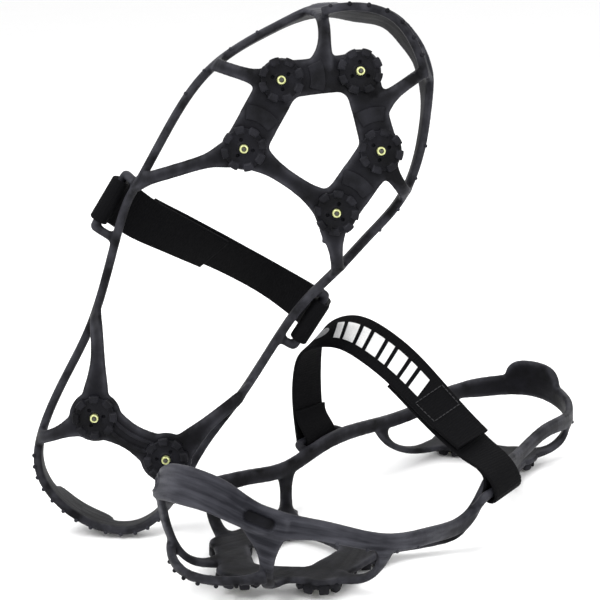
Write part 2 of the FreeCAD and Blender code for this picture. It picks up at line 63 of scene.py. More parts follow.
heel_low, heel_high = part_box("left_heel_plate")
LEFT_HEEL = np.array([
    heel_low.x * 1000 - (HEEL_HUB_X - PAD_RADIUS),
    (heel_low.y + heel_high.y) * 500,
    0.0,
])


def turn_about(axis, angle):
    """Rotation matrix about a coordinate axis: cosines on the other two, sines between them."""
    turn = np.eye(3)
    first, second = (axis + 1) % 3, (axis + 2) % 3
    turn[first, first] = turn[second, second] = np.cos(angle)
    turn[second, first] = np.sin(angle)
    turn[first, second] = -np.sin(angle)
    return turn


RIGHT_TURN = turn_about(2, RIGHT_YAW) @ turn_about(1, RIGHT_PITCH) @ turn_about(0, RIGHT_ROLL)
MIRROR = np.diag([1.0, -1.0, 1.0])


def set_down(points, side):
    """Left foot mm to metres where that cleat lies: the right is mirrored, turned, then moved."""
    points = np.asarray(points, float)
    if side == "right":
        points = points @ (RIGHT_TURN @ MIRROR).T + RIGHT_HEEL
    return (points + LEFT_HEEL) / 1000


def unit(vectors):
    """Vectors divided by their own lengths."""
    vectors = np.asarray(vectors, float)
    return vectors / np.linalg.norm(vectors, axis=-1, keepdims=True)


def ease(share):
    """3 s^2 - 2 s^3, with s held between 0 and 1: a change that starts and stops gently."""
    share = np.clip(share, 0.0, 1.0)
    return share * share * (3.0 - 2.0 * share)


# ==== The side band ===================================================================
# A flat elastomer band stretched round the boot just above the sole: low at the waist,
# deep at the heel, and a wide rand that leans back over the toe cap.  It is part of one
# moulding with the arms and plates below, so its skin is made together with theirs.
BAND_THICKNESS = 4.6
HEEL_BACK = -7.0
# x, y, z of the band's middle, its height, and how far it leans inwards in degrees
BAND_STATIONS = {
    "heel": (HEEL_BACK, 0.0, 30.0, 14.0, 0.0),
    "heel_corner_out": (3.06, 28.0, 26.0, 13.0, 0.0),
    "heel_side_out": (22.95, 40.0, 25.0, 9.8, 0.0),
    "quarter_out": (58.14, 45.0, 29.0, 8.4, 0.0),
    "waist_out": (96.39, 49.5, 26.0, 8.4, 0.0),
    "strap_out": (148.41, 64.0, 31.0, 8.8, 0.0),
    "rear_out": (167.688, 65.0, 19.5, 8.8, 0.0),
    "side_out": (205.02, 66.5, 23.5, 8.8, 0.0),
    "ball_out": (238.068, 62.5, 30.5, 9.8, 0.0),
    "rand_end_out": (269.28, 46.5, 44.0, 11.0, 6.0),
    "toe_out": (289.17, 31.0, 51.8, 15.0, 16.0),
    "toe_front_out": (299.4, 12.0, 62.5, 18.8, 22.0),
    "toe": (305.0, -3.0, 66.6, 19.0, 22.0),
    "toe_front_in": (302.0, -18.0, 64.2, 19.0, 22.0),
    "toe_in": (293.4, -32.5, 57.5, 16.6, 18.0),
    "rand_end_in": (269.28, -47.0, 43.5, 10.8, 6.0),
    "ball_in": (233.172, -56.0, 30.0, 9.8, 0.0),
    "side_in": (205.02, -52.0, 27.0, 8.8, 0.0),
    "rear_in": (180.54, -47.0, 25.0, 8.8, 0.0),
    "strap_in": (148.41, -41.5, 32.5, 8.8, 0.0),
    "waist_in": (99.45, -40.0, 29.0, 8.4, 0.0),
    "quarter_in": (61.2, -37.0, 28.0, 8.4, 0.0),
    "heel_side_in": (27.54, -38.0, 28.0, 9.8, 0.0),
    "heel_corner_in": (3.06, -28.5, 27.0, 13.0, 0.0),
}
STATION_NAMES = list(BAND_STATIONS)
STATION_VALUES = np.array(list(BAND_STATIONS.values()))
STATION_COUNT = len(STATION_NAMES)


class SmoothLine:
    """A cubic curve through points P at knots t, with second slopes M.

    M balances h0 M0 + 2 (h0 + h1) M1 + h1 M2 = 6 (d1 - d0), where h are the knot steps
    and d the slopes between points.  An open line starts and ends with the slope of the
    cubic through its first and last four points.
    """

    def __init__(self, points, knots, closed=False):
        self.points = np.vstack([points, points[:1]]) if closed else np.asarray(points, float)
        self.knots = np.asarray(knots, float)
        steps = np.diff(self.knots)
        slopes = np.diff(self.points, axis=0) / steps[:, None]
        count = len(points)
        balance = np.zeros((count, count))
        pull = np.zeros((count, 3))
        inner = np.arange(count) if closed else np.arange(1, count - 1)
        before, after = steps[inner - 1], steps[inner % len(steps)]
        balance[inner, inner - 1] += before
        balance[inner, inner] += 2 * (before + after)
        balance[inner, (inner + 1) % count] += after
        pull[inner] = 6 * (slopes[inner % len(steps)] - slopes[inner - 1])
        if not closed:
            first = np.polyfit(self.knots[:4] - self.knots[0], self.points[:4], 3)[-2]
            last = np.polyfit(self.knots[-4:] - self.knots[-1], self.points[-4:], 3)[-2]
            balance[0, :2] = 2 * steps[0], steps[0]
            balance[-1, -2:] = steps[-1], 2 * steps[-1]
            pull[0] = 6 * (slopes[0] - first)
            pull[-1] = 6 * (last - slopes[-1])
        bends = np.linalg.solve(balance, pull)
        self.bends = np.vstack([bends, bends[:1]]) if closed else bends
        self.steps = steps

    def at(self, values):
        """Points and unit directions at these knot values."""
        index = np.clip(np.searchsorted(self.knots, values, "right") - 1, 0, len(self.steps) - 1)
        step = self.steps[index][:, None]
        late = (np.asarray(values)[:, None] - self.knots[index][:, None]) / step
        early = 1 - late
        start, stop = self.points[index], self.points[index + 1]
        bend_start, bend_stop = self.bends[index], self.bends[index + 1]
        place = early * start + late * stop
        place += ((early**3 - early) * bend_start + (late**3 - late) * bend_stop) * step**2 / 6
        slope = (stop - start) / step
        slope += ((3 * late**2 - 1) * bend_stop - (3 * early**2 - 1) * bend_start) * step / 6
        return place, unit(slope)


band_middles = STATION_VALUES[:, :3]
band_chords = np.sqrt(np.linalg.norm(np.roll(band_middles, -1, 0) - band_middles, axis=1))
BAND_KNOTS = np.concatenate([[0.0], np.cumsum(band_chords)])
BAND_LINE = SmoothLine(band_middles, BAND_KNOTS, closed=True)


def band_frame(places):
    """Middle, upward, outward direction and height of the band at station numbers.

    Outward is level and square to the band's line; both directions then lean inwards by
    the band's own angle.  Heights and leans ease from each station to the next.
    """
    index = np.floor(places).astype(int) % STATION_COUNT
    share = places - np.floor(places)
    after = (index + 1) % STATION_COUNT
    mix = ease(share)
    height = STATION_VALUES[index, 3] * (1 - mix) + STATION_VALUES[after, 3] * mix
    lean = np.radians(STATION_VALUES[index, 4] * (1 - mix) + STATION_VALUES[after, 4] * mix)
    middle, forward = BAND_LINE.at(BAND_KNOTS[index] * (1 - share) + BAND_KNOTS[index + 1] * share)
    inward = unit(np.stack([forward[:, 1], -forward[:, 0], np.zeros(len(places))], 1))
    up = np.outer(np.cos(lean), [0, 0, 1]) + inward * np.sin(lean)[:, None]
    return middle, up, unit(np.cross(up, forward)), height


def rounded_section(width, thickness, corner, steps=4):
    """Across and through of a bar's outline: a quarter circle about each inner corner."""
    turn = np.radians(np.arange(4)[:, None] * 90 + np.linspace(0, 90, steps)[None, :]).ravel()
    side = np.repeat([1, -1, -1, 1], steps)
    face = np.repeat([1, 1, -1, -1], steps)
    width, thickness = np.reshape(width, (-1, 1)), np.reshape(thickness, (-1, 1))
    corner = np.minimum(corner, np.minimum(width, thickness) / 2.02)
    return (
        side * (width / 2 - corner) + corner * np.cos(turn),
        face * (thickness / 2 - corner) + corner * np.sin(turn),
    )


def carried(middle, across, through, width, thickness, corner, steps=4):
    """Bar: each point is middle + across * a + through * b, (a, b) round the section."""
    a, b = rounded_section(width, thickness, corner, steps)
    return middle[:, None] + across[:, None] * a[..., None] + through[:, None] * b[..., None]


def shell(grid, closed=False):
    """Quads between neighbouring sections of a grid, and a face over each open end."""
    rows, columns = grid.shape[:2]
    row = np.arange(rows if closed else rows - 1)[:, None]
    column = np.arange(columns)[None, :]
    after_row, after_column = (row + 1) % rows, (column + 1) % columns
    corners = (
        row * columns + column,
        row * columns + after_column,
        after_row * columns + after_column,
        after_row * columns + column,
    )
    faces = np.stack(np.broadcast_arrays(*corners), -1).reshape(-1, 4).tolist()
    if not closed:
        faces.append(list(range(columns))[::-1])
        faces.append(list(range((rows - 1) * columns, rows * columns)))
    return grid.reshape(-1, 3), faces


SAMPLES_PER_STATION = 14
band_places = np.arange(STATION_COUNT * SAMPLES_PER_STATION) / SAMPLES_PER_STATION
middle, up, outward, height = band_frame(band_places)
moulding = [shell(carried(middle, up, outward, height, BAND_THICKNESS, 1.3), closed=True)]

# The pull tab stands on the heel band: a tongue with a round-cornered top.
TAB_HEIGHT = 9.0
TAB_THICKNESS = 5.0
TAB_REACH = 0.62
tab_share = np.linspace(-1, 1, 41)
middle, up, outward, height = band_frame((tab_share * TAB_REACH) % STATION_COUNT)
tab_rise = TAB_HEIGHT * (1 - np.abs(tab_share) ** 5) ** 0.6
tab_low = -2.0
tab_middle = middle + up * ((height / 2 + tab_rise + tab_low) / 2)[:, None]
moulding.append(shell(carried(
    tab_middle, up, outward, height / 2 + tab_rise - tab_low, TAB_THICKNESS, 1.8)))


# ==== The plates under the foot =======================================================
# Two flat elastomer plates carry the studs: a five-sided ring under the ball of the foot
# and a bar under the heel.  Each stud sits on a round pad, and every corner between two
# bars is filled with a generous radius.
PLATE_BOTTOM = 5.0
PLATE_THICKNESS = 3.5
SPRING_START = 0.70 * BOOT_LENGTH
SPRING_RADIUS = 400.0
HUBS = {
    "ring_out": (0.688 * BOOT_LENGTH, 28.5),
    "ring_front_out": (0.815 * BOOT_LENGTH, 30.5),
    "ring_toe": (0.895 * BOOT_LENGTH, -1.0),
    "ring_front_in": (0.803 * BOOT_LENGTH, -31.0),
    "ring_in": (0.678 * BOOT_LENGTH, -28.5),
    "heel_out": (HEEL_HUB_X, 21.5),
    "heel_in": (HEEL_HUB_X, -21.5),
}
RING = ["ring_out", "ring_front_out", "ring_toe", "ring_front_in", "ring_in"]
RING_HALVES = [10.5, 9.0, 9.0, 10.5, 4.2]      # half width of the bar after each hub
RING_CORNER = 6.5
PAD_EDGE = 11.2
HEEL_PAD_EDGE = 13.6
HEEL_HALF = 6.0


def spring(x):
    """Rise of the sole under the toe: R (1 - cos asin(reach / R))."""
    reach = np.maximum(np.asarray(x, float) - SPRING_START, 0.0)
    return SPRING_RADIUS - np.sqrt(SPRING_RADIUS**2 - reach**2)


def slab(outline):
    """A plate of the full thickness with this outline, laid flat."""
    outline = np.asarray(outline, float)
    count = len(outline)
    low = np.column_stack([outline, np.full(count, PLATE_BOTTOM)])
    high = low + [0, 0, PLATE_THICKNESS]
    here = np.arange(count)
    there = (here + 1) % count
    faces = np.stack([here, there, there + count, here + count], 1).tolist()
    return np.vstack([low, high]), faces + [here[::-1].tolist(), (here + count).tolist()]


def disc(hub, radius):
    """Round pad: a circle about the hub."""
    turn = np.linspace(0, 2 * np.pi, 48, endpoint=False)
    return slab(np.array(HUBS[hub]) + radius * np.column_stack([np.cos(turn), np.sin(turn)]))


def waisted_bar(first, second, half, end_half, reach=13.0):
    """Bar between hubs: its half width falls from end_half to half as exp(-(d / reach)^2)."""
    start, stop = np.array(HUBS[first]), np.array(HUBS[second])
    length = np.linalg.norm(stop - start)
    forward = (stop - start) / length
    side = np.array([-forward[1], forward[0]])
    distance = np.linspace(0, length, 40)
    flare = np.exp(-(distance / reach) ** 2) + np.exp(-((length - distance) / reach) ** 2)
    halves = half + (end_half - half) * np.minimum(flare, 1.0)
    line = start + np.outer(distance, forward)
    return slab(np.vstack([line + halves[:, None] * side, (line - halves[:, None] * side)[::-1]]))


def corner_fill(hub, toward, half, toward_next, half_next, radius):
    """Fills the angle between two bars out to an arc that touches both their edges.

    The arc's centre c solves n1 . c = h1 + R and n2 . c = h2 + R, where n1 and n2 stand
    square to the bars and face each other, and h1 and h2 are the half widths.
    """
    first, second = unit(np.array(toward)), unit(np.array(toward_next))
    normal_first = unit(second - first * (second @ first))
    normal_second = unit(first - second * (first @ second))
    centre = np.linalg.solve([normal_first, normal_second], [half + radius, half_next + radius])
    start = np.arctan2(-normal_first[1], -normal_first[0])
    sweep = np.arctan2(-normal_second[1], -normal_second[0]) - start
    sweep = (sweep + np.pi) % (2 * np.pi) - np.pi
    turn = start + sweep * np.linspace(0, 1, 17)
    arc = centre + radius * np.column_stack([np.cos(turn), np.sin(turn)])
    return slab(np.array(HUBS[hub]) + np.vstack([[0, 0], arc]))


def from_to(first, second):
    return np.array(HUBS[second]) - np.array(HUBS[first])


flat_shells = [
    disc(name, HEEL_PAD_EDGE if name.startswith("heel") else PAD_EDGE) for name in HUBS]
for number, name in enumerate(RING):
    after, before = RING[(number + 1) % 5], RING[number - 1]
    half, half_before = RING_HALVES[number], RING_HALVES[number - 1]
    flat_shells.append(waisted_bar(name, after, half, max(half, 9.5)))
    flat_shells.append(corner_fill(
        name, from_to(name, after), half, from_to(name, before), half_before, RING_CORNER))
flat_shells.append(waisted_bar("heel_in", "heel_out", HEEL_HALF, 10.5, 15.0))


# ==== The arms ========================================================================
# Ten straps of the same moulding leave the plates' edges, run out under the sole and turn
# up round its edge to the band.  Each one widens smoothly at both ends, where it takes
# the pull.  A thin rim joins the two toe arms across the front of the toe.
ARM_WIDTH = 7.0
ARM_THICKNESS = 3.8
PLATE_MIDDLE = PLATE_BOTTOM + PLATE_THICKNESS / 2
ROOT_SHARE = 0.55
BAR_INSET = 6.0


def station(name):
    return STATION_VALUES[STATION_NAMES.index(name), :3]


def chord_knots(points):
    return np.concatenate([[0.0], np.cumsum(np.linalg.norm(np.diff(points, axis=0), axis=1))])


def arm(root, name, bow=0.0, width=ARM_WIDTH, root_flare=7.5, band_flare=7.0, band_reach=6.0,
        root_reach=9.0):
    """An arm from a plate to a station of the band.

    Its line stays low for two thirds of the way and then climbs.  Its width is w + a
    exp(-(s / r)^2) + b exp(-((L - s) / q)^2) with s the distance from the root, and it
    turns from square to its run to lying along the band.
    """
    root_x, root_y = root
    start = np.array([root_x, root_y, PLATE_MIDDLE + spring(root_x)])
    stop = station(name)
    run = stop - start
    side = unit([-run[1], run[0], 0.0])
    shares = np.array([0.0, 0.30, 0.62, 0.90, 1.0])
    rises = np.array([0.0, 0.01, 0.10, 0.42, 1.0])
    points = start + np.outer(shares, run * [1, 1, 0]) + np.outer(rises, run * [0, 0, 1])
    points += np.outer(bow * np.sin(np.pi * shares) * (shares < 1), side)
    line = SmoothLine(points, chord_knots(points))
    middle, forward = line.at(np.linspace(0, line.knots[-1], 60))
    distance = chord_knots(middle)
    length = distance[-1]
    along_band = BAND_LINE.at(BAND_KNOTS[[STATION_NAMES.index(name)]])[1][0]
    along_band = along_band * np.sign(along_band @ side)
    mix = ease((distance / length - 0.55) / 0.4)[:, None]
    across = side * (1 - mix) + along_band * mix
    across = unit(across - forward * (across * forward).sum(1)[:, None])
    widths = width + root_flare * np.exp(-(distance / root_reach) ** 2)
    widths = widths + band_flare * np.exp(-((length - distance) / band_reach) ** 2)
    return shell(carried(
        middle, across, unit(np.cross(forward, across)), widths, ARM_THICKNESS, 1.2))


def pad_edge(hub, x, y):
    """A point part of the way from a hub to its pad's edge, in the direction (x, y)."""
    return np.array(HUBS[hub]) + unit([x, y]) * PAD_RADIUS * ROOT_SHARE


def bar_edge(first, second):
    """A point inside the front edge of a toe bar of the ring, half way along it."""
    start, stop = np.array(HUBS[first]), np.array(HUBS[second])
    forward = unit(stop - start)
    frontwards = np.array([forward[1], -forward[0]]) * np.sign(forward[1])
    return (start + stop) / 2 + frontwards * (RING_HALVES[1] - BAR_INSET)


TOE_ARM = dict(width=6.6, root_flare=7.0, root_reach=9.0, band_flare=17.0, band_reach=13.5)
moulding += [
    arm(bar_edge("ring_front_out", "ring_toe"), "toe_out", -2.0, **TOE_ARM),
    arm(bar_edge("ring_front_in", "ring_toe"), "toe_in", 2.0, **TOE_ARM),
    arm(pad_edge("ring_front_out", -9, 13), "ball_out", root_flare=5.0, root_reach=7.0),
    arm(pad_edge("ring_front_in", -8, -10), "ball_in", root_flare=5.0, root_reach=7.0),
    arm(pad_edge("ring_out", -12, 9), "rear_out"),
    arm(pad_edge("ring_in", -13, -4), "rear_in"),
    arm(pad_edge("heel_out", 10, 7), "waist_out", -2.0, root_reach=16.0),
    arm(pad_edge("heel_in", 10, -7), "waist_in", 2.0, root_reach=16.0),
    arm(pad_edge("heel_out", -10, 6), "heel_side_out"),
    arm(pad_edge("heel_in", -10, -6), "heel_side_in"),
]

# The rear bar of the ring runs on into both rear arms as one arch, and the heel bar's
# front edge runs on into both front arms.
flat_shells += [
    corner_fill("ring_out", (-12, 9), 3.2, from_to("ring_out", "ring_in"), 4.0, 24.0),
    corner_fill("ring_in", (-13, -4), 3.2, from_to("ring_in", "ring_out"), 4.0, 22.0),
    corner_fill("heel_out", (10, 4.4), 3.4, from_to("heel_out", "heel_in"), 6.0, 13.0),
    corner_fill("heel_in", (10, -4.4), 3.4, from_to("heel_in", "heel_out"), 6.0, 13.0),
]

RIM_HEIGHT = 4.6
RIM_RAISE = 21.0
toe_out, toe_in = station("toe_out"), station("toe_in")
rim_points = np.array([
    [toe_out[0] + 0.2, toe_out[1] - 0.5, RIM_RAISE + 2.5],
    [0.985 * BOOT_LENGTH, toe_out[1] / 2, RIM_RAISE + 0.5],
    [BOOT_LENGTH, -1.0, RIM_RAISE],
    [0.985 * BOOT_LENGTH, toe_in[1] / 2, RIM_RAISE],
    [toe_in[0] - 4.4, toe_in[1] + 0.6, RIM_RAISE + 1.5],
])
rim_line = SmoothLine(rim_points, chord_knots(rim_points))
rim_middle, rim_forward = rim_line.at(np.linspace(0, rim_line.knots[-1], 60))
rim_distance = chord_knots(rim_middle)
rim_up = np.tile([0.0, 0.0, 1.0], (60, 1))
rim_up = unit(rim_up - rim_forward * rim_forward[:, 2:])
rim_outward = unit(np.cross(rim_up, rim_forward))
rim_outward = rim_outward * np.sign(rim_outward[:, :1] + 1e-9)
rim_flare = np.exp(-(rim_distance / 6) ** 2) + np.exp(-((rim_distance[-1] - rim_distance) / 6) ** 2)
moulding.append(shell(carried(
    rim_middle, rim_up, rim_outward, RIM_HEIGHT + 3.0 * rim_flare, BAND_THICKNESS, 1.2)))


# ==== The strap loops =================================================================
# A moulded rail stands off the band on two posts at each side of the instep, and the
# webbing passes round it.  Rail and posts are one bent bar, rounded all round.
STRAP_WIDTH = 25.0
RAIL_RADIUS = 2.5
RAIL_STANDOFF = 9.0
RAIL_RAISE = 1.0
RAIL_REACH = 16.25


def rail_middle(side_sign):
    base = station("strap_out" if side_sign > 0 else "strap_in")
    return base + np.array([0.0, side_sign * RAIL_STANDOFF, RAIL_RAISE])


def band_beside(side_sign, x):
    """The band's middle next to the strap, where its line passes x."""
    names = ("waist_out", "rear_out") if side_sign > 0 else ("waist_in", "rear_in")
    first, last = (BAND_KNOTS[STATION_NAMES.index(name)] for name in names)
    spots = BAND_LINE.at(np.linspace(first, last, 400))[0]
    return np.array([np.interp(x, spots[:, 0], spots[:, axis]) for axis in range(3)])


def strap_loop(side_sign):
    """A round bar from the band out to the rail, along it, and back to the band.

    The four straight runs' corners are rounded by a running mean along the line.
    """
    rail = rail_middle(side_sign)
    front, back = rail + [RAIL_REACH, 0, 0], rail - [RAIL_REACH, 0, 0]
    corners = np.array([
        band_beside(side_sign, back[0]), back, front, band_beside(side_sign, front[0])])
    spots = chord_knots(corners)
    even = np.arange(0, spots[-1], 0.5)
    line = np.column_stack([np.interp(even, spots, corners[:, axis]) for axis in range(3)])
    window = np.hanning(11)[1:-1] / np.hanning(11)[1:-1].sum()
    padded = np.vstack([np.tile(line[0], (4, 1)), line, np.tile(line[-1], (4, 1))])
    middle = np.column_stack([np.convolve(padded[:, axis], window, "valid") for axis in range(3)])
    forward = unit(np.gradient(middle, axis=0))
    across = unit(np.cross(forward, [0.0, 0.35 * side_sign, 1.0]))
    return shell(carried(
        middle, across, unit(np.cross(forward, across)), 2 * RAIL_RADIUS, 2 * RAIL_RADIUS, 2.4, 5))


moulding += [strap_loop(1), strap_loop(-1)]


# ==== One moulded harness =============================================================
# Band, rand, tab, plates, arms, rim and loops leave the mould as a single piece.  Their
# overlapping shells are given one skin, which is then eased so that every meeting of two
# parts has the fillet that a mould gives it.
VOXEL = 0.78
SKIN_ROUNDS = 9


def gathered(shells):
    """Points and faces of several shells, numbered as one."""
    offsets = np.cumsum([0] + [len(points) for points, _ in shells])
    faces = [[k + start for k in face] for (_, own), start in zip(shells, offsets) for face in own]
    return np.vstack([points for points, _ in shells]), faces


def one_skin(shells, voxel):
    """Voxel remesh of overlapping shells: points and quads of their common outside."""
    points, faces = gathered(shells)
    mesh = bpy.data.meshes.new("skin")
    mesh.from_pydata(points.tolist(), [], faces)
    core = bmesh.new()
    core.from_mesh(mesh)
    bmesh.ops.recalc_face_normals(core, faces=core.faces)
    core.to_mesh(mesh)
    core.free()
    holder = bpy.data.objects.new("skin", mesh)
    bpy.context.scene.collection.objects.link(holder)
    remesh = holder.modifiers.new("skin", "REMESH")
    remesh.mode = "VOXEL"
    remesh.voxel_size = voxel
    skin = holder.evaluated_get(bpy.context.evaluated_depsgraph_get()).to_mesh()
    skin_points = np.empty(len(skin.vertices) * 3, np.float32)
    skin.vertices.foreach_get("co", skin_points)
    quads = np.empty(len(skin.loops), np.int32)
    skin.loops.foreach_get("vertex_index", quads)
    starts = np.empty(len(skin.polygons), np.int32)
    skin.polygons.foreach_get("loop_start", starts)
    sizes = np.diff(np.append(starts, len(quads)))
    assert np.all(sizes == 4)
    holder.to_mesh_clear()
    bpy.data.objects.remove(holder)
    bpy.data.meshes.remove(mesh)
    return skin_points.reshape(-1, 3).astype(float), quads.reshape(-1, 4)


def eased(points, quads, rounds):
    """Each round moves a point half way to the mean of its neighbours."""
    starts = quads.ravel()
    stops = np.roll(quads, -1, 1).ravel()
    shares = np.bincount(starts, minlength=len(points)).astype(float)
    for _ in range(rounds):
        means = np.column_stack([
            np.bincount(starts, points[stops, axis], len(points)) for axis in range(3)
        ]) / shares[:, None]
        points = points + (means - points) / 2
    return points


def skin_normals(points, quads):
    """Unit sum of the normals of the quads round each point."""
    corners = points[quads]
    faces = np.cross(corners[:, 2] - corners[:, 0], corners[:, 3] - corners[:, 1])
    total = np.zeros_like(points)
    for corner in range(4):
        for axis in range(3):
            total[:, axis] += np.bincount(quads[:, corner], faces[:, axis], len(points))
    return unit(total)


laid_flat = [(points - np.outer(spring(points[:, 0]), [0, 0, 1]), faces) for points, faces in moulding]
points, skin_quads = one_skin(laid_flat + flat_shells, VOXEL)
points[:, 2] += spring(points[:, 0])
smooth_points = eased(points, skin_quads, SKIN_ROUNDS)
normals = skin_normals(smooth_points, skin_quads)
softened = eased(smooth_points, skin_quads, 6)
edge_wear = np.clip(((smooth_points - softened) * normals).sum(1) / 0.10, 0, 1)
# Painted light and shade: faces turned outwards and up, and the front of the toe, keep the lit grey band
# colour. Faces turned inwards or down, and the band more and more towards the heel, take the blacker
# sole colour as painted shade. The same mask also gives the sole's own blacker rubber low down.
outside = np.sign(smooth_points[:, 1]) * normals[:, 1] + 0.35 * normals[:, 2]
outside = ease((outside + normals[:, 0] * ease((smooth_points[:, 0] - 250) / 30) + 0.1) / 0.6)
underfoot_and_shade = 1 - ease((smooth_points[:, 2] - spring(smooth_points[:, 0]) - 11.0) / 14.0)
underfoot_and_shade = 1 - (1 - underfoot_and_shade) * outside * (0.25 + 0.75 * ease((smooth_points[:, 0] - 120) / 130))

# The painted highlight streaks run with the band, so each point is told how far round it lies
# and how far above the band's middle, counted in the length and the width of one streak.
STREAK_LENGTH = 26.0
STREAK_WIDTH = 2.6
ring = BAND_LINE.at(np.linspace(0, BAND_KNOTS[-1], 400, endpoint=False))[0]
ring_turn = np.arctan2(ring[:, 1], ring[:, 0] - BOOT_LENGTH / 2)
turn_order = np.argsort(ring_turn)
point_turn = np.arctan2(smooth_points[:, 1], smooth_points[:, 0] - BOOT_LENGTH / 2)
ring_height = np.interp(point_turn, ring_turn[turn_order], ring[turn_order, 2])
streak_run = point_turn * BOOT_LENGTH / 2 / STREAK_LENGTH
streak_rise = (smooth_points[:, 2] - ring_height) / STREAK_WIDTH

# A pill-shaped recess is moulded into the rand above each toe arm.
SLOT_LENGTH = 15.5
SLOT_WIDTH = 5.6
SLOT_DEPTH = 2.6
SLOT_LIP = 0.6
slot_places = np.array([STATION_NAMES.index("toe_out") + 0.12, STATION_NAMES.index("toe_in") - 0.05])
slot_middle, _, slot_outward, _ = band_frame(slot_places)
slot_drop = np.array([0.6, 0.4])
slot_run = BAND_LINE.at(np.interp(slot_places, np.arange(STATION_COUNT + 1), BAND_KNOTS))[1]
for middle, run, outward, drop in zip(slot_middle, slot_run, slot_outward, slot_drop):
    forward = unit(run - outward * (run @ outward))
    up = unit(np.cross(forward, outward) * np.sign(np.cross(forward, outward)[2]))
    offset = smooth_points - (middle - up * drop)
    reach = np.maximum(np.abs(offset @ forward) - (SLOT_LENGTH - SLOT_WIDTH) / 2, 0)
    from_middle = np.hypot(reach, offset @ up)
    facing = (normals @ outward > 0.3) & (np.abs(offset @ outward) < 6) & (np.abs(offset @ forward) < 12)
    sink = SLOT_DEPTH * (1 - ease((from_middle - SLOT_WIDTH / 2 + 0.5) / 0.9))
    lip = SLOT_LIP * np.exp(-((from_middle - SLOT_WIDTH / 2 - 1.1) / 0.7) ** 2)
    smooth_points = smooth_points + np.outer(facing * (lip - sink), outward)
    edge_wear = np.where(facing & (from_middle < SLOT_WIDTH / 2), 0, edge_wear)
    # The recess's inside takes the blacker sole colour: painted shade in the recess.
    underfoot_and_shade = np.maximum(underfoot_and_shade, facing * (1 - ease((from_middle - SLOT_WIDTH / 2 + 0.6) / 0.8)))


def new_piece(name, points, faces, side, finish, shade_and_wear=None, close=True, uvs=None):
    """A mesh object of one cleat, in the place where that cleat lies."""
    mesh = bpy.data.meshes.new(name)
    face_list = faces if isinstance(faces, list) else faces.tolist()
    mesh.from_pydata(set_down(points, side).tolist(), [], face_list)
    if uvs is not None:
        layer = mesh.uv_layers.new(name="along_across")
        layer.data.foreach_set("uv", np.asarray(uvs, np.float32).ravel())
    if close:
        core = bmesh.new()
        core.from_mesh(mesh)
        bmesh.ops.recalc_face_normals(core, faces=core.faces)
        core.to_mesh(mesh)
        core.free()
    elif side == "right":
        mesh.flip_normals()
    for label, values in (shade_and_wear or {}).items():
        attribute = mesh.attributes.new(label, "FLOAT", "POINT")
        attribute.data.foreach_set("value", np.asarray(values, np.float32))
    mesh.polygons.foreach_set("use_smooth", [True] * len(mesh.polygons))
    mesh.materials.append(finish)
    piece = bpy.data.objects.new(name, mesh)
    bpy.context.scene.collection.objects.link(piece)
    return piece


def new_finish(name):
    """A material with its node list, its links and its shader."""
    finish = bpy.data.materials.new(name)
    finish.use_nodes = True
    tree = finish.node_tree
    return finish, tree.nodes, tree.links, tree.nodes["Principled BSDF"]


def mottle(nodes, links, scale, detail, place=None):
    """Noise on the piece's own coordinates, so many blotches to the metre, or on place."""
    if place is None:
        place = nodes.new("ShaderNodeTexCoord").outputs["Object"]
    noise = nodes.new("ShaderNodeTexNoise")
    noise.inputs["Scale"].default_value = scale
    noise.inputs["Detail"].default_value = detail
    links.new(place, noise.inputs["Vector"])
    return noise.outputs["Fac"]


def blend_colours(nodes, links, share, first, second):
    """Colour that goes from the first to the second as share goes from 0 to 1."""
    mix = nodes.new("ShaderNodeMix")
    mix.data_type = "RGBA"
    for socket, value in (("Factor_Float", share), ("A_Color", first), ("B_Color", second)):
        target = next(s for s in mix.inputs if s.identifier == socket)
        if hasattr(value, "is_linked"):
            links.new(value, target)
        else:
            target.default_value = (*value, 1.0) if isinstance(value, tuple) else value
    return next(s for s in mix.outputs if s.identifier == "Result_Color")


def spread(nodes, links, value, low, high, to_low, to_high):
    """value between low and high, carried over to between to_low and to_high."""
    reach = nodes.new("ShaderNodeMapRange")
    limits = {"From Min": low, "From Max": high, "To Min": to_low, "To Max": to_high}
    for socket, number in limits.items():
        reach.inputs[socket].default_value = number
    links.new(value, reach.inputs["Value"])
    return reach.outputs["Result"]


def raise_by(nodes, links, shader, heights, distance, strength):
    """Small relief from a height pattern; distance is in metres."""
    bump = nodes.new("ShaderNodeBump")
    bump.inputs["Distance"].default_value = distance
    bump.inputs["Strength"].default_value = strength
    links.new(heights, bump.inputs["Height"])
    links.new(bump.outputs["Normal"], shader.inputs["Normal"])
    return bump


def combine(nodes, links, operation, first, second):
    """One number out of two by a plain sum, product or other operation."""
    node = nodes.new("ShaderNodeMath")
    node.operation = operation
    for socket, value in zip(node.inputs, (first, second)):
        if hasattr(value, "is_linked"):
            links.new(value, socket)
        else:
            socket.default_value = value
    return node.outputs[0]


def point_value(nodes, label):
    attribute = nodes.new("ShaderNodeAttribute")
    attribute.attribute_name = label
    return attribute.outputs["Fac"]


BAND_GREY = (0.0075, 0.0077, 0.0110)
# The paler band grey is the painted highlight of the streaks along the band.
BAND_GREY_HIGHLIGHT = (0.0430, 0.0435, 0.0530)
SOLE_BLACK = (0.0018, 0.0018, 0.0026)
SOLE_BLACK_PALE = (0.0065, 0.0065, 0.0092)
SCUFF_GREY = (0.055, 0.055, 0.065)


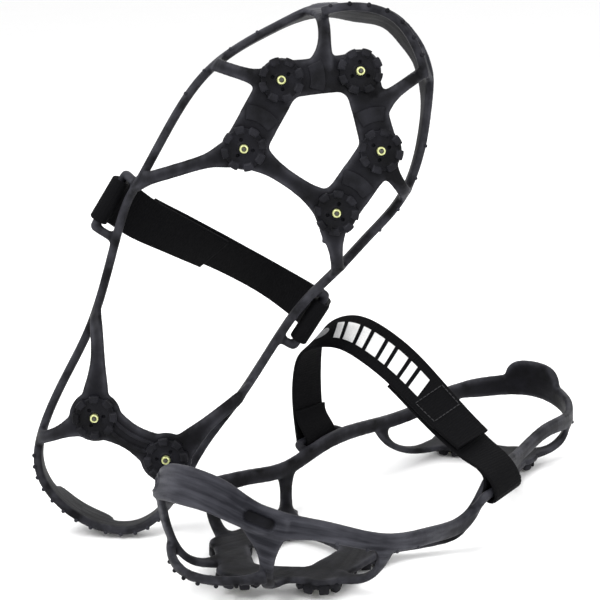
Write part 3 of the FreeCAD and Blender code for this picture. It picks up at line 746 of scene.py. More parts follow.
def elastomer(name):
    """Matt rubber: grey band with painted highlight streaks, and the blacker sole colour both under the
    foot and as painted shade on faces turned away from the light, with scuffed edges and fine grain.
    """
    finish, nodes, links, shader = new_finish(name)
    along_band = nodes.new("ShaderNodeCombineXYZ")
    links.new(point_value(nodes, "streak_run"), along_band.inputs["X"])
    links.new(point_value(nodes, "streak_rise"), along_band.inputs["Y"])
    # Paler streaks along the band: painted highlight streaks in the base colour.
    streak_pattern = mottle(nodes, links, 1.0, 4.0, along_band.outputs["Vector"])
    streaks = combine(nodes, links, "ADD", streak_pattern, mottle(nodes, links, 30, 3))
    streaks = spread(nodes, links, streaks, 0.82, 1.26, 0, 1)
    blotches = spread(nodes, links, mottle(nodes, links, 90, 6), 0.35, 0.70, 0, 1)
    band = blend_colours(nodes, links, streaks, BAND_GREY, BAND_GREY_HIGHLIGHT)
    sole = blend_colours(nodes, links, blotches, SOLE_BLACK, SOLE_BLACK_PALE)
    # The blacker sole colour stands for the sole's own rubber and for painted shade.
    body = blend_colours(nodes, links, point_value(nodes, "underfoot_and_shade"), band, sole)
    scuffs = combine(nodes, links, "MULTIPLY", point_value(nodes, "edge_wear"), blotches)
    scuffs = combine(nodes, links, "MULTIPLY", scuffs, 0.55)
    links.new(blend_colours(nodes, links, scuffs, body, SCUFF_GREY), shader.inputs["Base Color"])
    links.new(spread(nodes, links, streaks, 0, 1, 0.62, 0.46), shader.inputs["Roughness"])
    grain = combine(nodes, links, "ADD", mottle(nodes, links, 1500, 3), combine(
        nodes, links, "MULTIPLY", mottle(nodes, links, 260, 5), 1.6))
    raise_by(nodes, links, shader, grain, 0.00025, 0.35)
    shader.inputs["Specular IOR Level"].default_value = 0.1
    return finish


elastomer_finish = elastomer("elastomer_with_painted_light")
HARNESS_NODES = [
    "lateral_band", "toe_rand", "medial_band", "heel_band", "heel_pull_tab", "forefoot_plate",
    "heel_plate", "toe_arm_outer", "toe_arm_inner", "mid_arm_outer", "mid_arm_inner",
    "rear_arm_outer", "rear_arm_inner", "heel_front_arm_outer", "heel_front_arm_inner",
    "heel_rear_arm_outer", "heel_rear_arm_inner", "toe_rim", "strap_loop_outer", "strap_loop_inner",
]
for side in SIDES:
    harness = new_piece(
        side + "_moulded_harness", smooth_points, skin_quads, side, elastomer_finish, close=False,
        shade_and_wear={"edge_wear": edge_wear, "underfoot_and_shade": underfoot_and_shade, "streak_run": streak_run,
              "streak_rise": streak_rise})
    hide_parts(*[side + "_" + name for name in HARNESS_NODES])
    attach(harness, side + "_harness")


# ==== Ribs and knobs on the moulding ==================================================
# Low raised bands cross the ring's bars and two ribs run along the heel bar.  Rows of
# small round knobs stand on the toe rim and on the band's lower edge, at heel and sides.
RIB_RISE = 0.8
RIB_DEPTH = 1.6
BAND_ARC_RADIUS = 18.6
BAND_ARC_WIDTH = 7.6
KNOB_RADIUS = 1.15
KNOB_PITCH = 9.3


def raised_band(hub, toward, half):
    """A low flat arc about a hub, ending 1 mm inside the edges of the bar to the next hub."""
    forward = from_to(hub, toward)
    bearing = np.arctan2(forward[1], forward[0])
    half_turn = np.arcsin((half - 1.0) / (BAND_ARC_RADIUS + BAND_ARC_WIDTH / 2))
    turn = bearing + np.linspace(-half_turn, half_turn, 20)
    radial = np.column_stack([np.cos(turn), np.sin(turn), turn * 0])
    middle = np.append(HUBS[hub], 0.0) + BAND_ARC_RADIUS * radial
    middle[:, 2] = PLATE_BOTTOM + spring(middle[:, 0]) + RIB_DEPTH / 2 - RIB_RISE
    up = np.tile([0.0, 0.0, 1.0], (20, 1))
    return shell(carried(middle, radial, up, BAND_ARC_WIDTH, RIB_DEPTH, 0.3))


def heel_rib(offset, bow):
    """A narrow rib along the heel bar: x = x0 + offset + bow (1 - (y / 13)^2)."""
    y = np.linspace(-13.0, 13.0, 30)
    middle = np.column_stack([HEEL_HUB_X + offset + bow * (1 - (y / 13) ** 2), y, y * 0])
    middle[:, 2] = PLATE_BOTTOM + RIB_DEPTH / 2 - RIB_RISE
    across = np.tile([1.0, 0.0, 0.0], (30, 1))
    width = 2.2 * (1 - (np.abs(y) / 13.3) ** 6)
    return shell(carried(middle, across, np.tile([0.0, 0.0, 1.0], (30, 1)), width + 0.1, RIB_DEPTH, 0.5))


def knob(place, outward, radius=KNOB_RADIUS):
    """Half ball on a short neck: r cos(a) round the outward axis, r sin(a) along it."""
    outward = unit(outward)
    side = unit(np.cross(outward, [0.31, 0.17, 0.93]))
    turn = np.linspace(0, 2 * np.pi, 12, endpoint=False)
    rise = np.array([-1.0, 0.0, 0.35, 0.65, 0.88, 0.98])
    wide = np.array([1.0, 1.0, 0.94, 0.76, 0.47, 0.16])
    ring = np.cos(turn)[:, None] * side + np.sin(turn)[:, None] * np.cross(outward, side)
    grid = place + radius * (wide[:, None, None] * ring + rise[:, None, None] * outward)
    return shell(grid)


relief = [
    raised_band("ring_out", "ring_front_out", 10.5),
    raised_band("ring_in", "ring_front_in", 10.5),
    raised_band("ring_front_out", "ring_toe", 9.0),
    raised_band("ring_front_in", "ring_toe", 9.0),
    heel_rib(4.0, -2.2),
    heel_rib(-1.4, -2.2),
]
rim_stops = np.arange(5.0, rim_line.knots[-1] - 4.0, KNOB_PITCH)
rim_spots, rim_headings = rim_line.at(rim_stops)
rim_sides = np.cross(rim_headings, [0.0, 0.0, 1.0])
rim_sides = unit(rim_sides * np.sign(rim_sides[:, :1] + 1e-9))
rim_lean = unit(rim_sides - [0.0, 0.0, 0.9])
relief += [
    knob(spot + lean * 2.1, lean) for spot, lean in zip(rim_spots - [0.0, 0.0, 0.6], rim_lean)
]
heel_stops = np.linspace(-1.55, 1.55, 13)
heel_middle, heel_up, heel_outward, heel_height = band_frame(heel_stops % STATION_COUNT)
heel_lean = unit(heel_outward * 0.9 - heel_up)
heel_spots = heel_middle - heel_up * (heel_height / 2 - 1.5)[:, None] + heel_outward * 1.0
relief += [knob(spot + lean * 1.1, lean) for spot, lean in zip(heel_spots, heel_lean)]
side_stops = np.array([7.35, 7.8, 8.3, 8.75, 15.3, 15.75, 16.3, 16.8])
side_middle, side_up, side_outward, side_height = band_frame(side_stops)
side_lean = unit(side_outward - side_up * 0.8)
side_spots = side_middle - side_up * (side_height / 2 - 1.4)[:, None] + side_outward * 0.7
relief += [knob(spot + lean * 1.2, lean, 1.0) for spot, lean in zip(side_spots, side_lean)]
relief_points, relief_faces = gathered(relief)
relief_underfoot_and_shade = 1 - ease((relief_points[:, 2] - spring(relief_points[:, 0]) - 11.0) / 14.0)
for side in SIDES:
    ribs = new_piece(
        side + "_ribs_and_knobs", relief_points, relief_faces, side, elastomer_finish,
        shade_and_wear={"edge_wear": np.full(len(relief_points), 0.25), "underfoot_and_shade": relief_underfoot_and_shade})
    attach(ribs, side + "_harness")


# ==== Crowns of lugs ==================================================================
# Each stud is ringed by a crown of eight blunt rubber lugs moulded under the plate, with
# a small boss round the stud and three pin marks left by the mould.
CROWN_RADIUS = 11.5
CROWN_WAIST = 10.2
CROWN_DISC = 1.8
LUG_COUNT = 8
LUG_LENGTH = 3.9
LUG_WIDTH = 5.2
LUG_DROP = 3.95
STUD_RADIUS = 2.3
PIN_MARK_REACH = 4.7


def crown():
    """A ring whose underside drops by d + (l - d) A(t) B(r) below the plate.

    A is 1 across a lug's width and 0 between lugs, B is 1 over a lug's length.  The
    outline swells from the waist to the full radius with A, and a boss and three pin
    marks are added near the stud.
    """
    turn = np.linspace(0, 2 * np.pi, 144, endpoint=False)
    pitch = 2 * np.pi / LUG_COUNT
    from_lug = np.abs((turn + pitch / 2) % pitch - pitch / 2)
    wide = 1 - ease((from_lug * 10.4 - LUG_WIDTH / 2 + 0.45) / 0.75)
    outer = CROWN_WAIST + (CROWN_RADIUS - CROWN_WAIST) * wide
    share = np.linspace(0, 1, 27)[:, None]
    radius = (outer - 0.35) * (1 - share) + (STUD_RADIUS + 0.06) * share
    long = ease((radius - CROWN_RADIUS + LUG_LENGTH) / 0.7)
    drop = CROWN_DISC + (LUG_DROP - CROWN_DISC) * wide * long
    drop = drop + 0.55 * (1 - ease((radius - 3.3) / 0.6))
    x, y = radius * np.cos(turn), radius * np.sin(turn)
    for mark in range(3):
        bearing = np.radians(50 + 120 * mark)
        away = np.hypot(x - PIN_MARK_REACH * np.cos(bearing), y - PIN_MARK_REACH * np.sin(bearing))
        drop = drop - 1.25 * (1 - ease((away - 0.55) / 0.45))
    edge = 4 * wide * long * (1 - wide * long) + 0.25 * wide * long
    wall_share = np.array([0.0, 0.5, 0.92])[:, None]
    wall = outer + wall_share * 0
    wall_drop = -1.0 + (drop[0] + 1.0 - 0.3) * wall_share
    all_radius = np.vstack([wall, radius, radius[-1:]])
    all_drop = np.vstack([wall_drop, drop, drop[-1:] * 0 - 1.0])
    all_edge = np.vstack([wall * 0 + [[0], [0.2], [0.7]], edge, edge[-1:] * 0])
    grid = np.stack([all_radius * np.cos(turn), all_radius * np.sin(turn), -all_drop], -1)
    return shell(grid, closed=True), all_edge.ravel()


def under_hubs(part, tilt_marks=0.0):
    """Copies of a part at all hubs, each square to the sole there."""
    points, faces = part
    copies = []
    for number, (x, y) in enumerate(HUBS.values()):
        lean = np.arcsin(max(x - SPRING_START, 0.0) / SPRING_RADIUS)
        turn = turn_about(1, -lean) @ turn_about(2, tilt_marks * number)
        copies.append((points @ turn.T + [x, y, PLATE_BOTTOM + spring(x)], faces))
    return gathered(copies)


crown_shell, crown_edge = crown()
crown_points, crown_faces = under_hubs(crown_shell, 0.9)
crown_wear_and_shade = {
    "edge_wear": np.tile(crown_edge, len(HUBS)),
    "underfoot_and_shade": np.ones(len(crown_points)),
}
for side in SIDES:
    crowns = new_piece(
        side + "_stud_crowns", crown_points, crown_faces, side, elastomer_finish, shade_and_wear=crown_wear_and_shade)
    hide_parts(side + "_forefoot_crowns", side + "_heel_crowns")
    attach(crowns, side + "_harness")


# ==== Studs ===========================================================================
# A turned steel bush, plated a pale yellow-green, is moulded into each pad and holds a
# dark carbide pin whose flat tip is what bites the ice.


def turned(radii, heights, columns=40, closed=False):
    """A lathe shape: each (radius, height) pair swept once round the axis."""
    turn = np.linspace(0, 2 * np.pi, columns, endpoint=False)
    radii, heights = np.array(radii)[:, None], np.array(heights)[:, None]
    grid = np.stack([radii * np.cos(turn), radii * np.sin(turn), heights + turn * 0], -1)
    return shell(grid, closed)


bush_points, bush_faces = under_hubs(turned(
    [2.3, 2.3, 2.24, 2.1, 1.95, 1.88, 1.42, 1.3, 1.16, 1.04, 0.97],
    [1.0, -3.5, -3.85, -4.3, -4.46, -4.5, -4.5, -4.44, -4.25, -3.9, 1.0], closed=True))
pin_points, pin_faces = under_hubs(turned(
    [0.95, 0.95, 0.95, 0.90, 0.78, 0.70, 0.2], [-1.9, -4.4, -4.78, -4.92, -4.99, -5.0, -5.0], 32))

bush_finish, nodes, links, shader = new_finish("plated_steel")
tarnish = spread(nodes, links, mottle(nodes, links, 900, 5), 0.35, 0.68, 0, 1)
links.new(
    blend_colours(nodes, links, tarnish, (0.70, 0.73, 0.38), (0.42, 0.44, 0.17)),
    shader.inputs["Base Color"])
links.new(spread(nodes, links, tarnish, 0, 1, 0.28, 0.5), shader.inputs["Roughness"])
shader.inputs["Metallic"].default_value = 0.75
raise_by(nodes, links, shader, mottle(nodes, links, 2600, 3), 0.0001, 0.3)

pin_finish, nodes, links, shader = new_finish("dark_carbide")
specks = spread(nodes, links, mottle(nodes, links, 3200, 4), 0.35, 0.68, 0, 1)
links.new(
    blend_colours(nodes, links, specks, (0.055, 0.055, 0.05), (0.10, 0.10, 0.09)),
    shader.inputs["Base Color"])
links.new(spread(nodes, links, specks, 0, 1, 0.3, 0.5), shader.inputs["Roughness"])
shader.inputs["Metallic"].default_value = 0.9
for side in SIDES:
    bushes = new_piece(side + "_stud_bushes", bush_points, bush_faces, side, bush_finish)
    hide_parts(side + "_studs")
    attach(bushes, side + "_harness")
    pins = new_piece(side + "_carbide_pins", pin_points, pin_faces, side, pin_finish)
    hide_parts(side + "_stud_tips")
    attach(pins, side + "_harness")


# ==== The instep strap ================================================================
# Black woven webbing, 25 mm wide.  The top length is sewn round the inner rail, comes up
# over the instep and folds down the outer side, where it grips the shorter length that is
# sewn round the outer rail.  Its free end is cut square.
STRAP_THICKNESS = 2.0
INSTEP_HEIGHT = 99.0
STRAP_LEAN_BACK = 1.5
TOP_LEAN = 34.0
SLEEVE_RADIUS = 3.8
PATCH_THICKNESS = 0.7
STACK = STRAP_THICKNESS + 2 * PATCH_THICKNESS + 0.3
inner_rail, outer_rail = rail_middle(-1), rail_middle(1)
low_in, low_out = inner_rail[1] - SLEEVE_RADIUS, outer_rail[1] + SLEEVE_RADIUS
rise, fall = INSTEP_HEIGHT - inner_rail[2], INSTEP_HEIGHT - outer_rail[2]
strap_x = inner_rail[0] - STRAP_LEAN_BACK
strap_points = np.array([
    [inner_rail[0], low_in, inner_rail[2]],
    [inner_rail[0], low_in - 2.0, inner_rail[2] + 0.30 * rise],
    [strap_x, low_in - 2.5, inner_rail[2] + 0.60 * rise],
    [strap_x, low_in + 3.0, inner_rail[2] + 0.85 * rise],
    [strap_x, low_in + 14.0, INSTEP_HEIGHT - 2.5],
    [strap_x, low_in + 27.0, INSTEP_HEIGHT],
    [strap_x, -9.0, INSTEP_HEIGHT - 0.07 * fall],
    [strap_x, 8.0, INSTEP_HEIGHT - 0.20 * fall],
    [strap_x, 25.0, INSTEP_HEIGHT - 0.38 * fall],
    [strap_x, low_out - 37.0, INSTEP_HEIGHT - 0.54 * fall],
    [strap_x, low_out - 20.0, INSTEP_HEIGHT - 0.70 * fall],
    [outer_rail[0], low_out - 5.0, outer_rail[2] + 0.16 * fall],
    [outer_rail[0], low_out, outer_rail[2]],
])
strap_curve = SmoothLine(strap_points, chord_knots(strap_points))
fine_knots = np.linspace(0, strap_curve.knots[-1], 4001)
fine_distances = chord_knots(strap_curve.at(fine_knots)[0])
STRAP_LENGTH = fine_distances[-1]
FLAP_START = STRAP_LENGTH * 0.40
TAIL_END = STRAP_LENGTH - 33.0
TAIL_START = TAIL_END - 17.0
PATCH_END = TAIL_START - 1.0
PATCH_START = PATCH_END - 34.0
UNDER_START = PATCH_START - 1.0


def strap_frame(distances):
    """Middle, across and outward of the strap; its front edge leans most over the instep."""
    middle, forward = strap_curve.at(np.interp(distances, fine_distances, fine_knots))
    share = np.clip(distances / STRAP_LENGTH, 0, 1)
    lean = np.radians(TOP_LEAN) * np.sin(np.pi * share) ** 1.5
    across = np.stack([np.cos(lean), lean * 0, -np.sin(lean)], 1)
    across = unit(across - forward * (across * forward).sum(1)[:, None])
    return middle, across, unit(np.cross(across, forward))


PLY_REACH = 17.0
PLY_STEPS = 40


def sewn_loop(rail, at_end):
    """Webbing round a rail: a ply up the boot's side of the strap, then half way round.

    The ply stays behind the strap by an offset that opens from touching it to twice the
    sleeve's radius, and the rest is a half circle about the rail.
    """
    reach = np.linspace(PLY_REACH, 0, PLY_STEPS)
    distances = STRAP_LENGTH - reach if at_end else reach
    middle, across, outward = strap_frame(distances)
    gap = STRAP_THICKNESS + 0.1 + (2 * SLEEVE_RADIUS - STRAP_THICKNESS - 0.1) * (1 - ease(reach / 14.0))
    ply = middle - outward * gap[:, None]
    turn = np.linspace(np.pi, 0, 26)[1:-1]
    face = outward[-1]
    down = np.cross(across[-1], face)
    down = down * np.sign(-down[2])
    wrap = rail + SLEEVE_RADIUS * (np.outer(np.cos(turn), face) + np.outer(np.sin(turn), down))
    wrap_out = np.outer(np.cos(turn), face) + np.outer(np.sin(turn), down)
    return (
        np.vstack([ply, wrap]),
        np.vstack([across, np.tile(across[-1], (len(wrap), 1))]),
        np.vstack([-outward, wrap_out]),
    )


RIB_PITCH = 1.55


def webbing(middle, across, outward, width=STRAP_WIDTH, thickness=STRAP_THICKNESS, ribs=0.09):
    """Woven strip: a rounded section, with t + 2 a sin^2 for the cross ribs of the weave.

    Returns its shell and, for each corner of each face, (distance along, distance round)
    in units of 25 mm.
    """
    distance = chord_knots(middle)
    wave = np.sin(np.pi * distance / RIB_PITCH) ** 2
    a, b = rounded_section(width, thickness, 0.95, 5)
    face_share = np.clip(np.abs(b) / (thickness / 2), 0, 1) ** 4
    grow = (wave[:, None] * 2 - 1) * ribs * face_share
    grid = middle[:, None] + across[:, None] * a[..., None] + outward[:, None] * (
        b + np.sign(b) * grow)[..., None]
    section = np.column_stack([a[0], b[0], b[0] * 0])
    round_it = np.append(chord_knots(section), 0)
    round_it[-1] = round_it[-2] + np.linalg.norm(section[0] - section[-1])
    rows, columns = grid.shape[:2]
    row, column = np.mgrid[0:rows - 1, 0:columns]
    along = np.stack([distance[row], distance[row], distance[row + 1], distance[row + 1]], -1)
    around = np.stack(
        [round_it[column], round_it[column + 1], round_it[column + 1], round_it[column]], -1)
    side_uvs = np.stack([along, around], -1).reshape(-1, 2)
    cap_uvs = np.vstack([np.column_stack([section[::-1, 1] * 0 + distance[0], section[::-1, 0]]),
                         np.column_stack([section[:, 1] * 0 + distance[-1], section[:, 0]])])
    points, faces = shell(grid)
    return points, faces, np.vstack([side_uvs, cap_uvs]) / 25.0


def stretch_of_strap(first, last, step=0.39):
    return np.linspace(first, last, int((last - first) / step))


def joined(*parts):
    """Frames of several stretches, one after another."""
    return tuple(np.vstack(list(stack)) for stack in zip(*parts))


WEBBING_BLACK = (0.0016, 0.0016, 0.0020)
# The paler webbing colour serves both worn patches and the painted highlight on raised threads.
WEBBING_WORN_AND_SHEEN = (0.0070, 0.0070, 0.0084)


def woven(name, dark=WEBBING_BLACK, pale=WEBBING_WORN_AND_SHEEN):
    """Woven polyester: cross ribs and lengthwise threads from the strip's own map, with paler worn
    patches and the raised threads painted paler as a painted highlight.
    """
    finish, nodes, links, shader = new_finish(name)
    uv = nodes.new("ShaderNodeUVMap")
    uv.uv_map = "along_across"
    split = nodes.new("ShaderNodeSeparateXYZ")
    links.new(uv.outputs["UV"], split.inputs["Vector"])
    along, around = split.outputs["X"], split.outputs["Y"]
    rib = combine(nodes, links, "SINE", combine(
        nodes, links, "MULTIPLY", along, 2 * np.pi * 25 / RIB_PITCH), 0.0)
    thread = combine(nodes, links, "SINE", combine(
        nodes, links, "MULTIPLY", around, 2 * np.pi * 25 / 0.9), 0.0)
    weave = combine(nodes, links, "MULTIPLY", rib, thread)
    fuzz = mottle(nodes, links, 2200, 3)
    heights = combine(nodes, links, "ADD", combine(nodes, links, "MULTIPLY", weave, 0.5), fuzz)
    patches = spread(nodes, links, mottle(nodes, links, 45, 4), 0.3, 0.75, 0, 0.55)
    # The paler colour on the raised threads is a painted highlight.
    lights = spread(nodes, links, heights, -0.2, 1.1, 0, 0.75)
    share = combine(nodes, links, "MAXIMUM", combine(nodes, links, "MULTIPLY", lights, 0.8), patches)
    share = combine(nodes, links, "MULTIPLY", share, lights)
    links.new(blend_colours(nodes, links, share, dark, pale), shader.inputs["Base Color"])
    links.new(spread(nodes, links, fuzz, 0.3, 0.7, 0.68, 0.9), shader.inputs["Roughness"])
    raise_by(nodes, links, shader, heights, 0.00022, 0.7)
    shader.inputs["Specular IOR Level"].default_value = 0.06
    return finish


webbing_finish = woven("black_webbing")
SPLIT = PATCH_START - 2.0
anchor_loop = sewn_loop(inner_rail, at_end=False)
over_instep = webbing(*joined(anchor_loop, strap_frame(stretch_of_strap(0.0, SPLIT))))
free_end = webbing(*strap_frame(stretch_of_strap(SPLIT, TAIL_END)))


def at_strap(distance, side):
    """A point on the strap's middle line, in the row frame."""
    return tuple(set_down(strap_frame(np.array([distance]))[0], side)[0])


FOLD_REACH = 5.0
for side in SIDES:
    points, faces, uvs = over_instep
    upper = new_piece(side + "_strap_over_instep", points, faces, side, webbing_finish, uvs=uvs)
    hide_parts(side + "_strap_anchor", side + "_strap_flap")
    at_strap(FLAP_START - FOLD_REACH, side)
    at_strap(FLAP_START + FOLD_REACH, side)
    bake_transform(upper)
    points, faces, uvs = free_end
    tail = new_piece(side + "_strap_free_end", points, faces, side, webbing_finish, uvs=uvs)
    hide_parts(side + "_strap_tail")
    at_strap(TAIL_START - 4.0, side)
    at_strap(TAIL_START + 4.0, side)
    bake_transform(tail)

# The shorter length starts flat under the free end and wraps the outer rail.
under_places = stretch_of_strap(UNDER_START, STRAP_LENGTH)
middle, across, outward = strap_frame(under_places)
under_ease = ease((under_places - TAIL_END) / (STRAP_LENGTH - TAIL_END))
under_middle = middle - outward * (STACK * (1 - under_ease))[:, None]
outer_loop = tuple(part[::-1] for part in sewn_loop(outer_rail, at_end=True))
under_length = webbing(*joined((under_middle, across, outward), outer_loop))
for side in SIDES:
    points, faces, uvs = under_length
    under = new_piece(side + "_strap_under_length", points, faces, side, webbing_finish, uvs=uvs)
    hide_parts(side + "_strap_under")
    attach(under, side + "_strap_under")


# ==== Printed bars ====================================================================
# A row of plain slanted bars is printed in white ink across the top of the strap, after
# a small oval of paler grey.  The ink is a thin film that bends with the webbing.
INK_RISE = 0.17
INK_FILM = 0.12
BAR_WIDTHS = np.array([4.6, 7.2, 4.6, 7.2, 4.6, 7.2, 4.6, 7.2])
BAR_GAP = 2.4
BAR_HEIGHT = 12.5
BAR_SLANT = 3.6
PRINT_START = STRAP_LENGTH * 0.350
OVAL_START = PRINT_START - 14.5
OVAL_LENGTH = 11.0
OVAL_HEIGHT = 9.0


def film(distances, offsets):
    """A thin closed film just above the strap, over a grid of places along and across it."""
    frame_parts = strap_frame(distances.ravel())
    middle, across, outward = (part.reshape(*distances.shape, 3) for part in frame_parts)
    top = middle + across * offsets[..., None] + outward * (STRAP_THICKNESS / 2 + INK_RISE)
    bottom = top - outward * INK_FILM
    return shell(np.concatenate([top, bottom[:, ::-1]], axis=1))


def slanted_bar(start, width):
    """Bar whose place along is start + w u + slant v, with v across the strap."""
    u, v = np.meshgrid(np.linspace(0, 1, 14), np.linspace(-0.5, 0.5, 6), indexing="ij")
    return film(start + width * u + BAR_SLANT * (v + 0.5), v * BAR_HEIGHT)


def oval(start, length, height):
    """Oval: half height (h / 2) sqrt(1 - t^2) at a share t of the half length."""
    t, v = np.meshgrid(np.cos(np.linspace(np.pi, 0, 24)), np.linspace(-1, 1, 6), indexing="ij")
    return film(start + (t + 1) / 2 * length, v * height / 2 * np.sqrt(1.0001 - t**2))


def ink(name, colour, worn):
    """Matt ink that sits in the weave: speckled where the threads show through."""
    finish, nodes, links, shader = new_finish(name)
    specks = spread(nodes, links, mottle(nodes, links, 1900, 4), 0.36, 0.66, 0, 1)
    links.new(blend_colours(nodes, links, specks, colour, worn), shader.inputs["Base Color"])
    links.new(spread(nodes, links, specks, 0, 1, 0.55, 0.8), shader.inputs["Roughness"])
    raise_by(nodes, links, shader, specks, 0.0001, 0.5)
    return finish


white_ink = ink("white_ink", (0.80, 0.80, 0.80), (0.62, 0.62, 0.62))
grey_ink = ink("grey_ink", (0.42, 0.42, 0.43), (0.26, 0.26, 0.27))
bar_starts = PRINT_START + np.concatenate([[0], np.cumsum(BAR_WIDTHS[:-1] + BAR_GAP)])
bars = [slanted_bar(start, width) for start, width in zip(bar_starts, BAR_WIDTHS)]
above_split = bar_starts + BAR_WIDTHS + BAR_SLANT < SPLIT
prints = (
    ("upper_bars", [bar for bar, above in zip(bars, above_split) if above], white_ink),
    ("grey_oval", [oval(OVAL_START, OVAL_LENGTH, OVAL_HEIGHT)], grey_ink),
    ("lower_bars", [bar for bar, above in zip(bars, above_split) if not above], white_ink),
)
for side in SIDES:
    for name, shells, colour in prints:
        points, faces = gathered(shells)
        mark = new_piece(side + "_strap_" + name, points, faces, side, colour)
        if name == "lower_bars":
            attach(mark, side + "_strap_flap")
        else:
            at_strap(FLAP_START - FOLD_REACH, side)
            at_strap(FLAP_START + FOLD_REACH, side)
            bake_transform(mark)


# ==== Stitching =======================================================================
# Black polyester thread holds the webbing: a boxed seam above the inner sewn loop and a
# box of stitches that holds the hook tape on and shows as dashes on the top strap.
STITCH_LENGTH = 2.1
STITCH_GAP = 0.7
THREAD_RADIUS = 0.26


def stitch(start, stop):
    """One stitch between two places (along, across) on the strap: a low arch of thread."""
    share = np.linspace(0, 1, 7)
    places = np.outer(1 - share, start) + np.outer(share, stop)
    middle, across, outward = strap_frame(places[:, 0])
    arch = STRAP_THICKNESS / 2 + 0.30 * np.sin(np.pi * share) ** 0.5 - 0.12
    line = middle + across * places[:, 1:] + outward * arch[:, None]
    heading = unit(np.gradient(line, axis=0))
    beside = unit(np.cross(outward, heading))
    turn = np.linspace(0, 2 * np.pi, 8, endpoint=False)[:, None, None]
    ring = line + THREAD_RADIUS * (np.cos(turn) * beside + np.sin(turn) * np.cross(heading, beside))
    return shell(ring.transpose(1, 0, 2))


def seam(first, last):
    """Stitches in a row from one place (along, across) to another."""
    first, last = np.array(first), np.array(last)
    length = np.linalg.norm(last - first)
    starts = np.arange(0, length - STITCH_LENGTH, STITCH_LENGTH + STITCH_GAP)
    heading = (last - first) / length
    return [stitch(first + heading * at, first + heading * (at + STITCH_LENGTH)) for at in starts]


def boxed_seam(start, stop, half_width):
    """Four rows round a rectangle on the strap."""
    corners = [(start, -half_width), (stop, -half_width), (stop, half_width), (start, half_width)]
    rows = [seam(first, last) for first, last in zip(corners, corners[1:] + corners[:1])]
    return sum(rows, [])


thread_finish, nodes, links, shader = new_finish("black_thread")
twist = spread(nodes, links, mottle(nodes, links, 2600, 3), 0.35, 0.65, 0, 1)
links.new(
    blend_colours(nodes, links, twist, (0.003, 0.003, 0.004), (0.016, 0.016, 0.019)),
    shader.inputs["Base Color"])
links.new(spread(nodes, links, twist, 0, 1, 0.55, 0.8), shader.inputs["Roughness"])
SEAM_HALF = STRAP_WIDTH / 2 - 2.6
anchor_seam = boxed_seam(5.0, PLY_REACH - 2.5, SEAM_HALF)
print_end = bar_starts[-1] + BAR_WIDTHS[-1]
patch_seam = boxed_seam(max(PATCH_START, print_end + 6.0), PATCH_END - 2.0, SEAM_HALF)
for side in SIDES:
    for name, stitches, body in (
            ("anchor_seam", anchor_seam, "_harness"), ("patch_seam", patch_seam, "_strap_flap")):
        points, faces = gathered(stitches)
        thread = new_piece(side + "_" + name, points, faces, side, thread_finish)
        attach(thread, side + body)


# ==== Hook and loop tapes =============================================================
# The closure under the free end: a tape of stiff nylon hooks sewn to the top strap and a
# tape of brushed loops sewn to the shorter length.
TAPE_WIDTH = STRAP_WIDTH - 2.0
TAPE_DROP = (STRAP_THICKNESS + PATCH_THICKNESS) / 2


def tape(drop, grain):
    """A flat strip along the strap, dropped inwards, with rows of small bumps on it."""
    places = stretch_of_strap(PATCH_START, PATCH_END, 0.42)
    middle, across, outward = strap_frame(places)
    return webbing(middle - outward * drop, across, outward, TAPE_WIDTH, PATCH_THICKNESS - 0.06, grain)


hook_finish = woven("hook_tape_black", (0.004, 0.004, 0.005), (0.030, 0.030, 0.032))
loop_finish = woven("loop_tape_black", (0.006, 0.006, 0.007), (0.045, 0.045, 0.048))
tapes = (
    ("hook", TAPE_DROP + 0.02, hook_finish, "_strap_flap"),
    ("loop", STACK - TAPE_DROP - 0.02, loop_finish, "_strap_under"),
)
for kind, drop, finish, body in tapes:
    points, faces, uvs = tape(drop, 0.03)
    for side in SIDES:
        patch = new_piece(side + "_" + kind + "_tape", points, faces, side, finish, uvs=uvs)
        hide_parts(side + "_" + kind + "_patch")
        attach(patch, side + body)


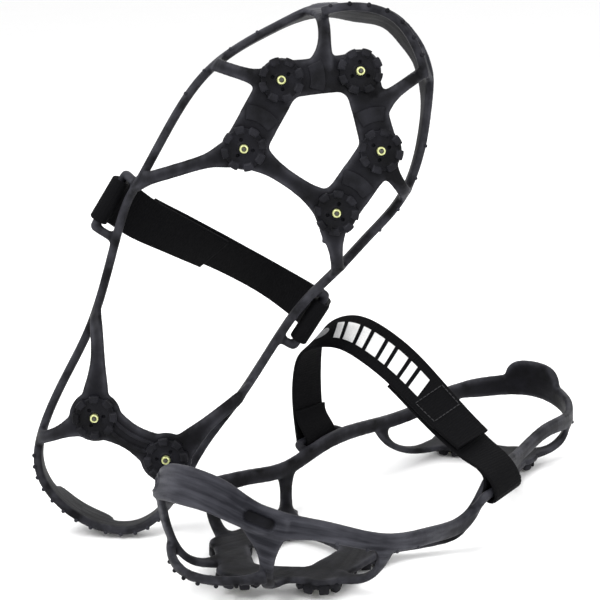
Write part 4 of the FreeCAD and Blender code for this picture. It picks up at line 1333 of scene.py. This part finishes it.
# ==== Floor, light and camera =========================================================
# A plain pale floor under soft studio lamps.
floor_finish, nodes, links, shader = new_finish("pale_floor")
paper = blend_colours(nodes, links, mottle(nodes, links, 6, 2), (0.95, 0.95, 0.95), (0.97, 0.97, 0.97))
links.new(paper, shader.inputs["Base Color"])
shader.inputs["Roughness"].default_value = 0.9
floor_mesh = bpy.data.meshes.new("floor")
floor_half = 6.0
floor_mesh.from_pydata(
    [(-floor_half, -floor_half, 0), (floor_half, -floor_half, 0), (floor_half, floor_half, 0),
     (-floor_half, floor_half, 0)], [], [(0, 1, 2, 3)])
floor_mesh.materials.append(floor_finish)
floor = bpy.data.objects.new("floor", floor_mesh)
bpy.context.scene.collection.objects.link(floor)

world = bpy.data.worlds.new("studio")
world.use_nodes = True
world.node_tree.nodes["Background"].inputs["Color"].default_value = (1.0, 1.0, 1.0, 1.0)
world.node_tree.nodes["Background"].inputs["Strength"].default_value = 1.0
bpy.context.scene.world = world


def lamp(name, place, target, size, power):
    """A square soft lamp that faces its target."""
    data = bpy.data.lights.new(name, "AREA")
    data.size = size
    data.energy = power
    light = bpy.data.objects.new(name, data)
    back = unit(np.array(place) - np.array(target))
    right = unit(np.cross([0.0, 0.0, 1.0], back))
    turn = Matrix(np.column_stack([right, np.cross(back, right), back]).tolist()).to_4x4()
    light.matrix_world = Matrix.Translation(place) @ turn
    bpy.context.scene.collection.objects.link(light)


lamp("key", (0.9, -0.2, 1.2), (0, 0, 0.1), 0.8, 16)
lamp("fill", (0.3, 1.3, 0.8), (0, 0, 0.1), 1.0, 8)
lamp("back", (-0.9, -0.3, 1.0), (0, 0, 0.1), 0.8, 6)

CAMERA_PLACE = (0.66475, 0.51638, 0.35287)
CAMERA_RIGHT = np.array([-0.6272, 0.7784, -0.0255])
CAMERA_FORWARD = np.array([-0.7457, -0.6097, -0.2687])
camera_data = bpy.data.cameras.new("camera")
camera_data.lens = 96.0
camera_data.clip_start = 0.01
camera = bpy.data.objects.new("camera", camera_data)
camera_back = -unit(CAMERA_FORWARD)
camera_up = unit(np.cross(camera_back, CAMERA_RIGHT))
camera_axes = [np.cross(camera_up, camera_back), camera_up, camera_back]
camera_turn = Matrix(np.column_stack(camera_axes).tolist())
camera.matrix_world = Matrix.Translation(CAMERA_PLACE) @ camera_turn.to_4x4()
bpy.context.scene.collection.objects.link(camera)
bpy.context.scene.camera = camera

bpy.context.scene.view_settings.view_transform = "Standard"
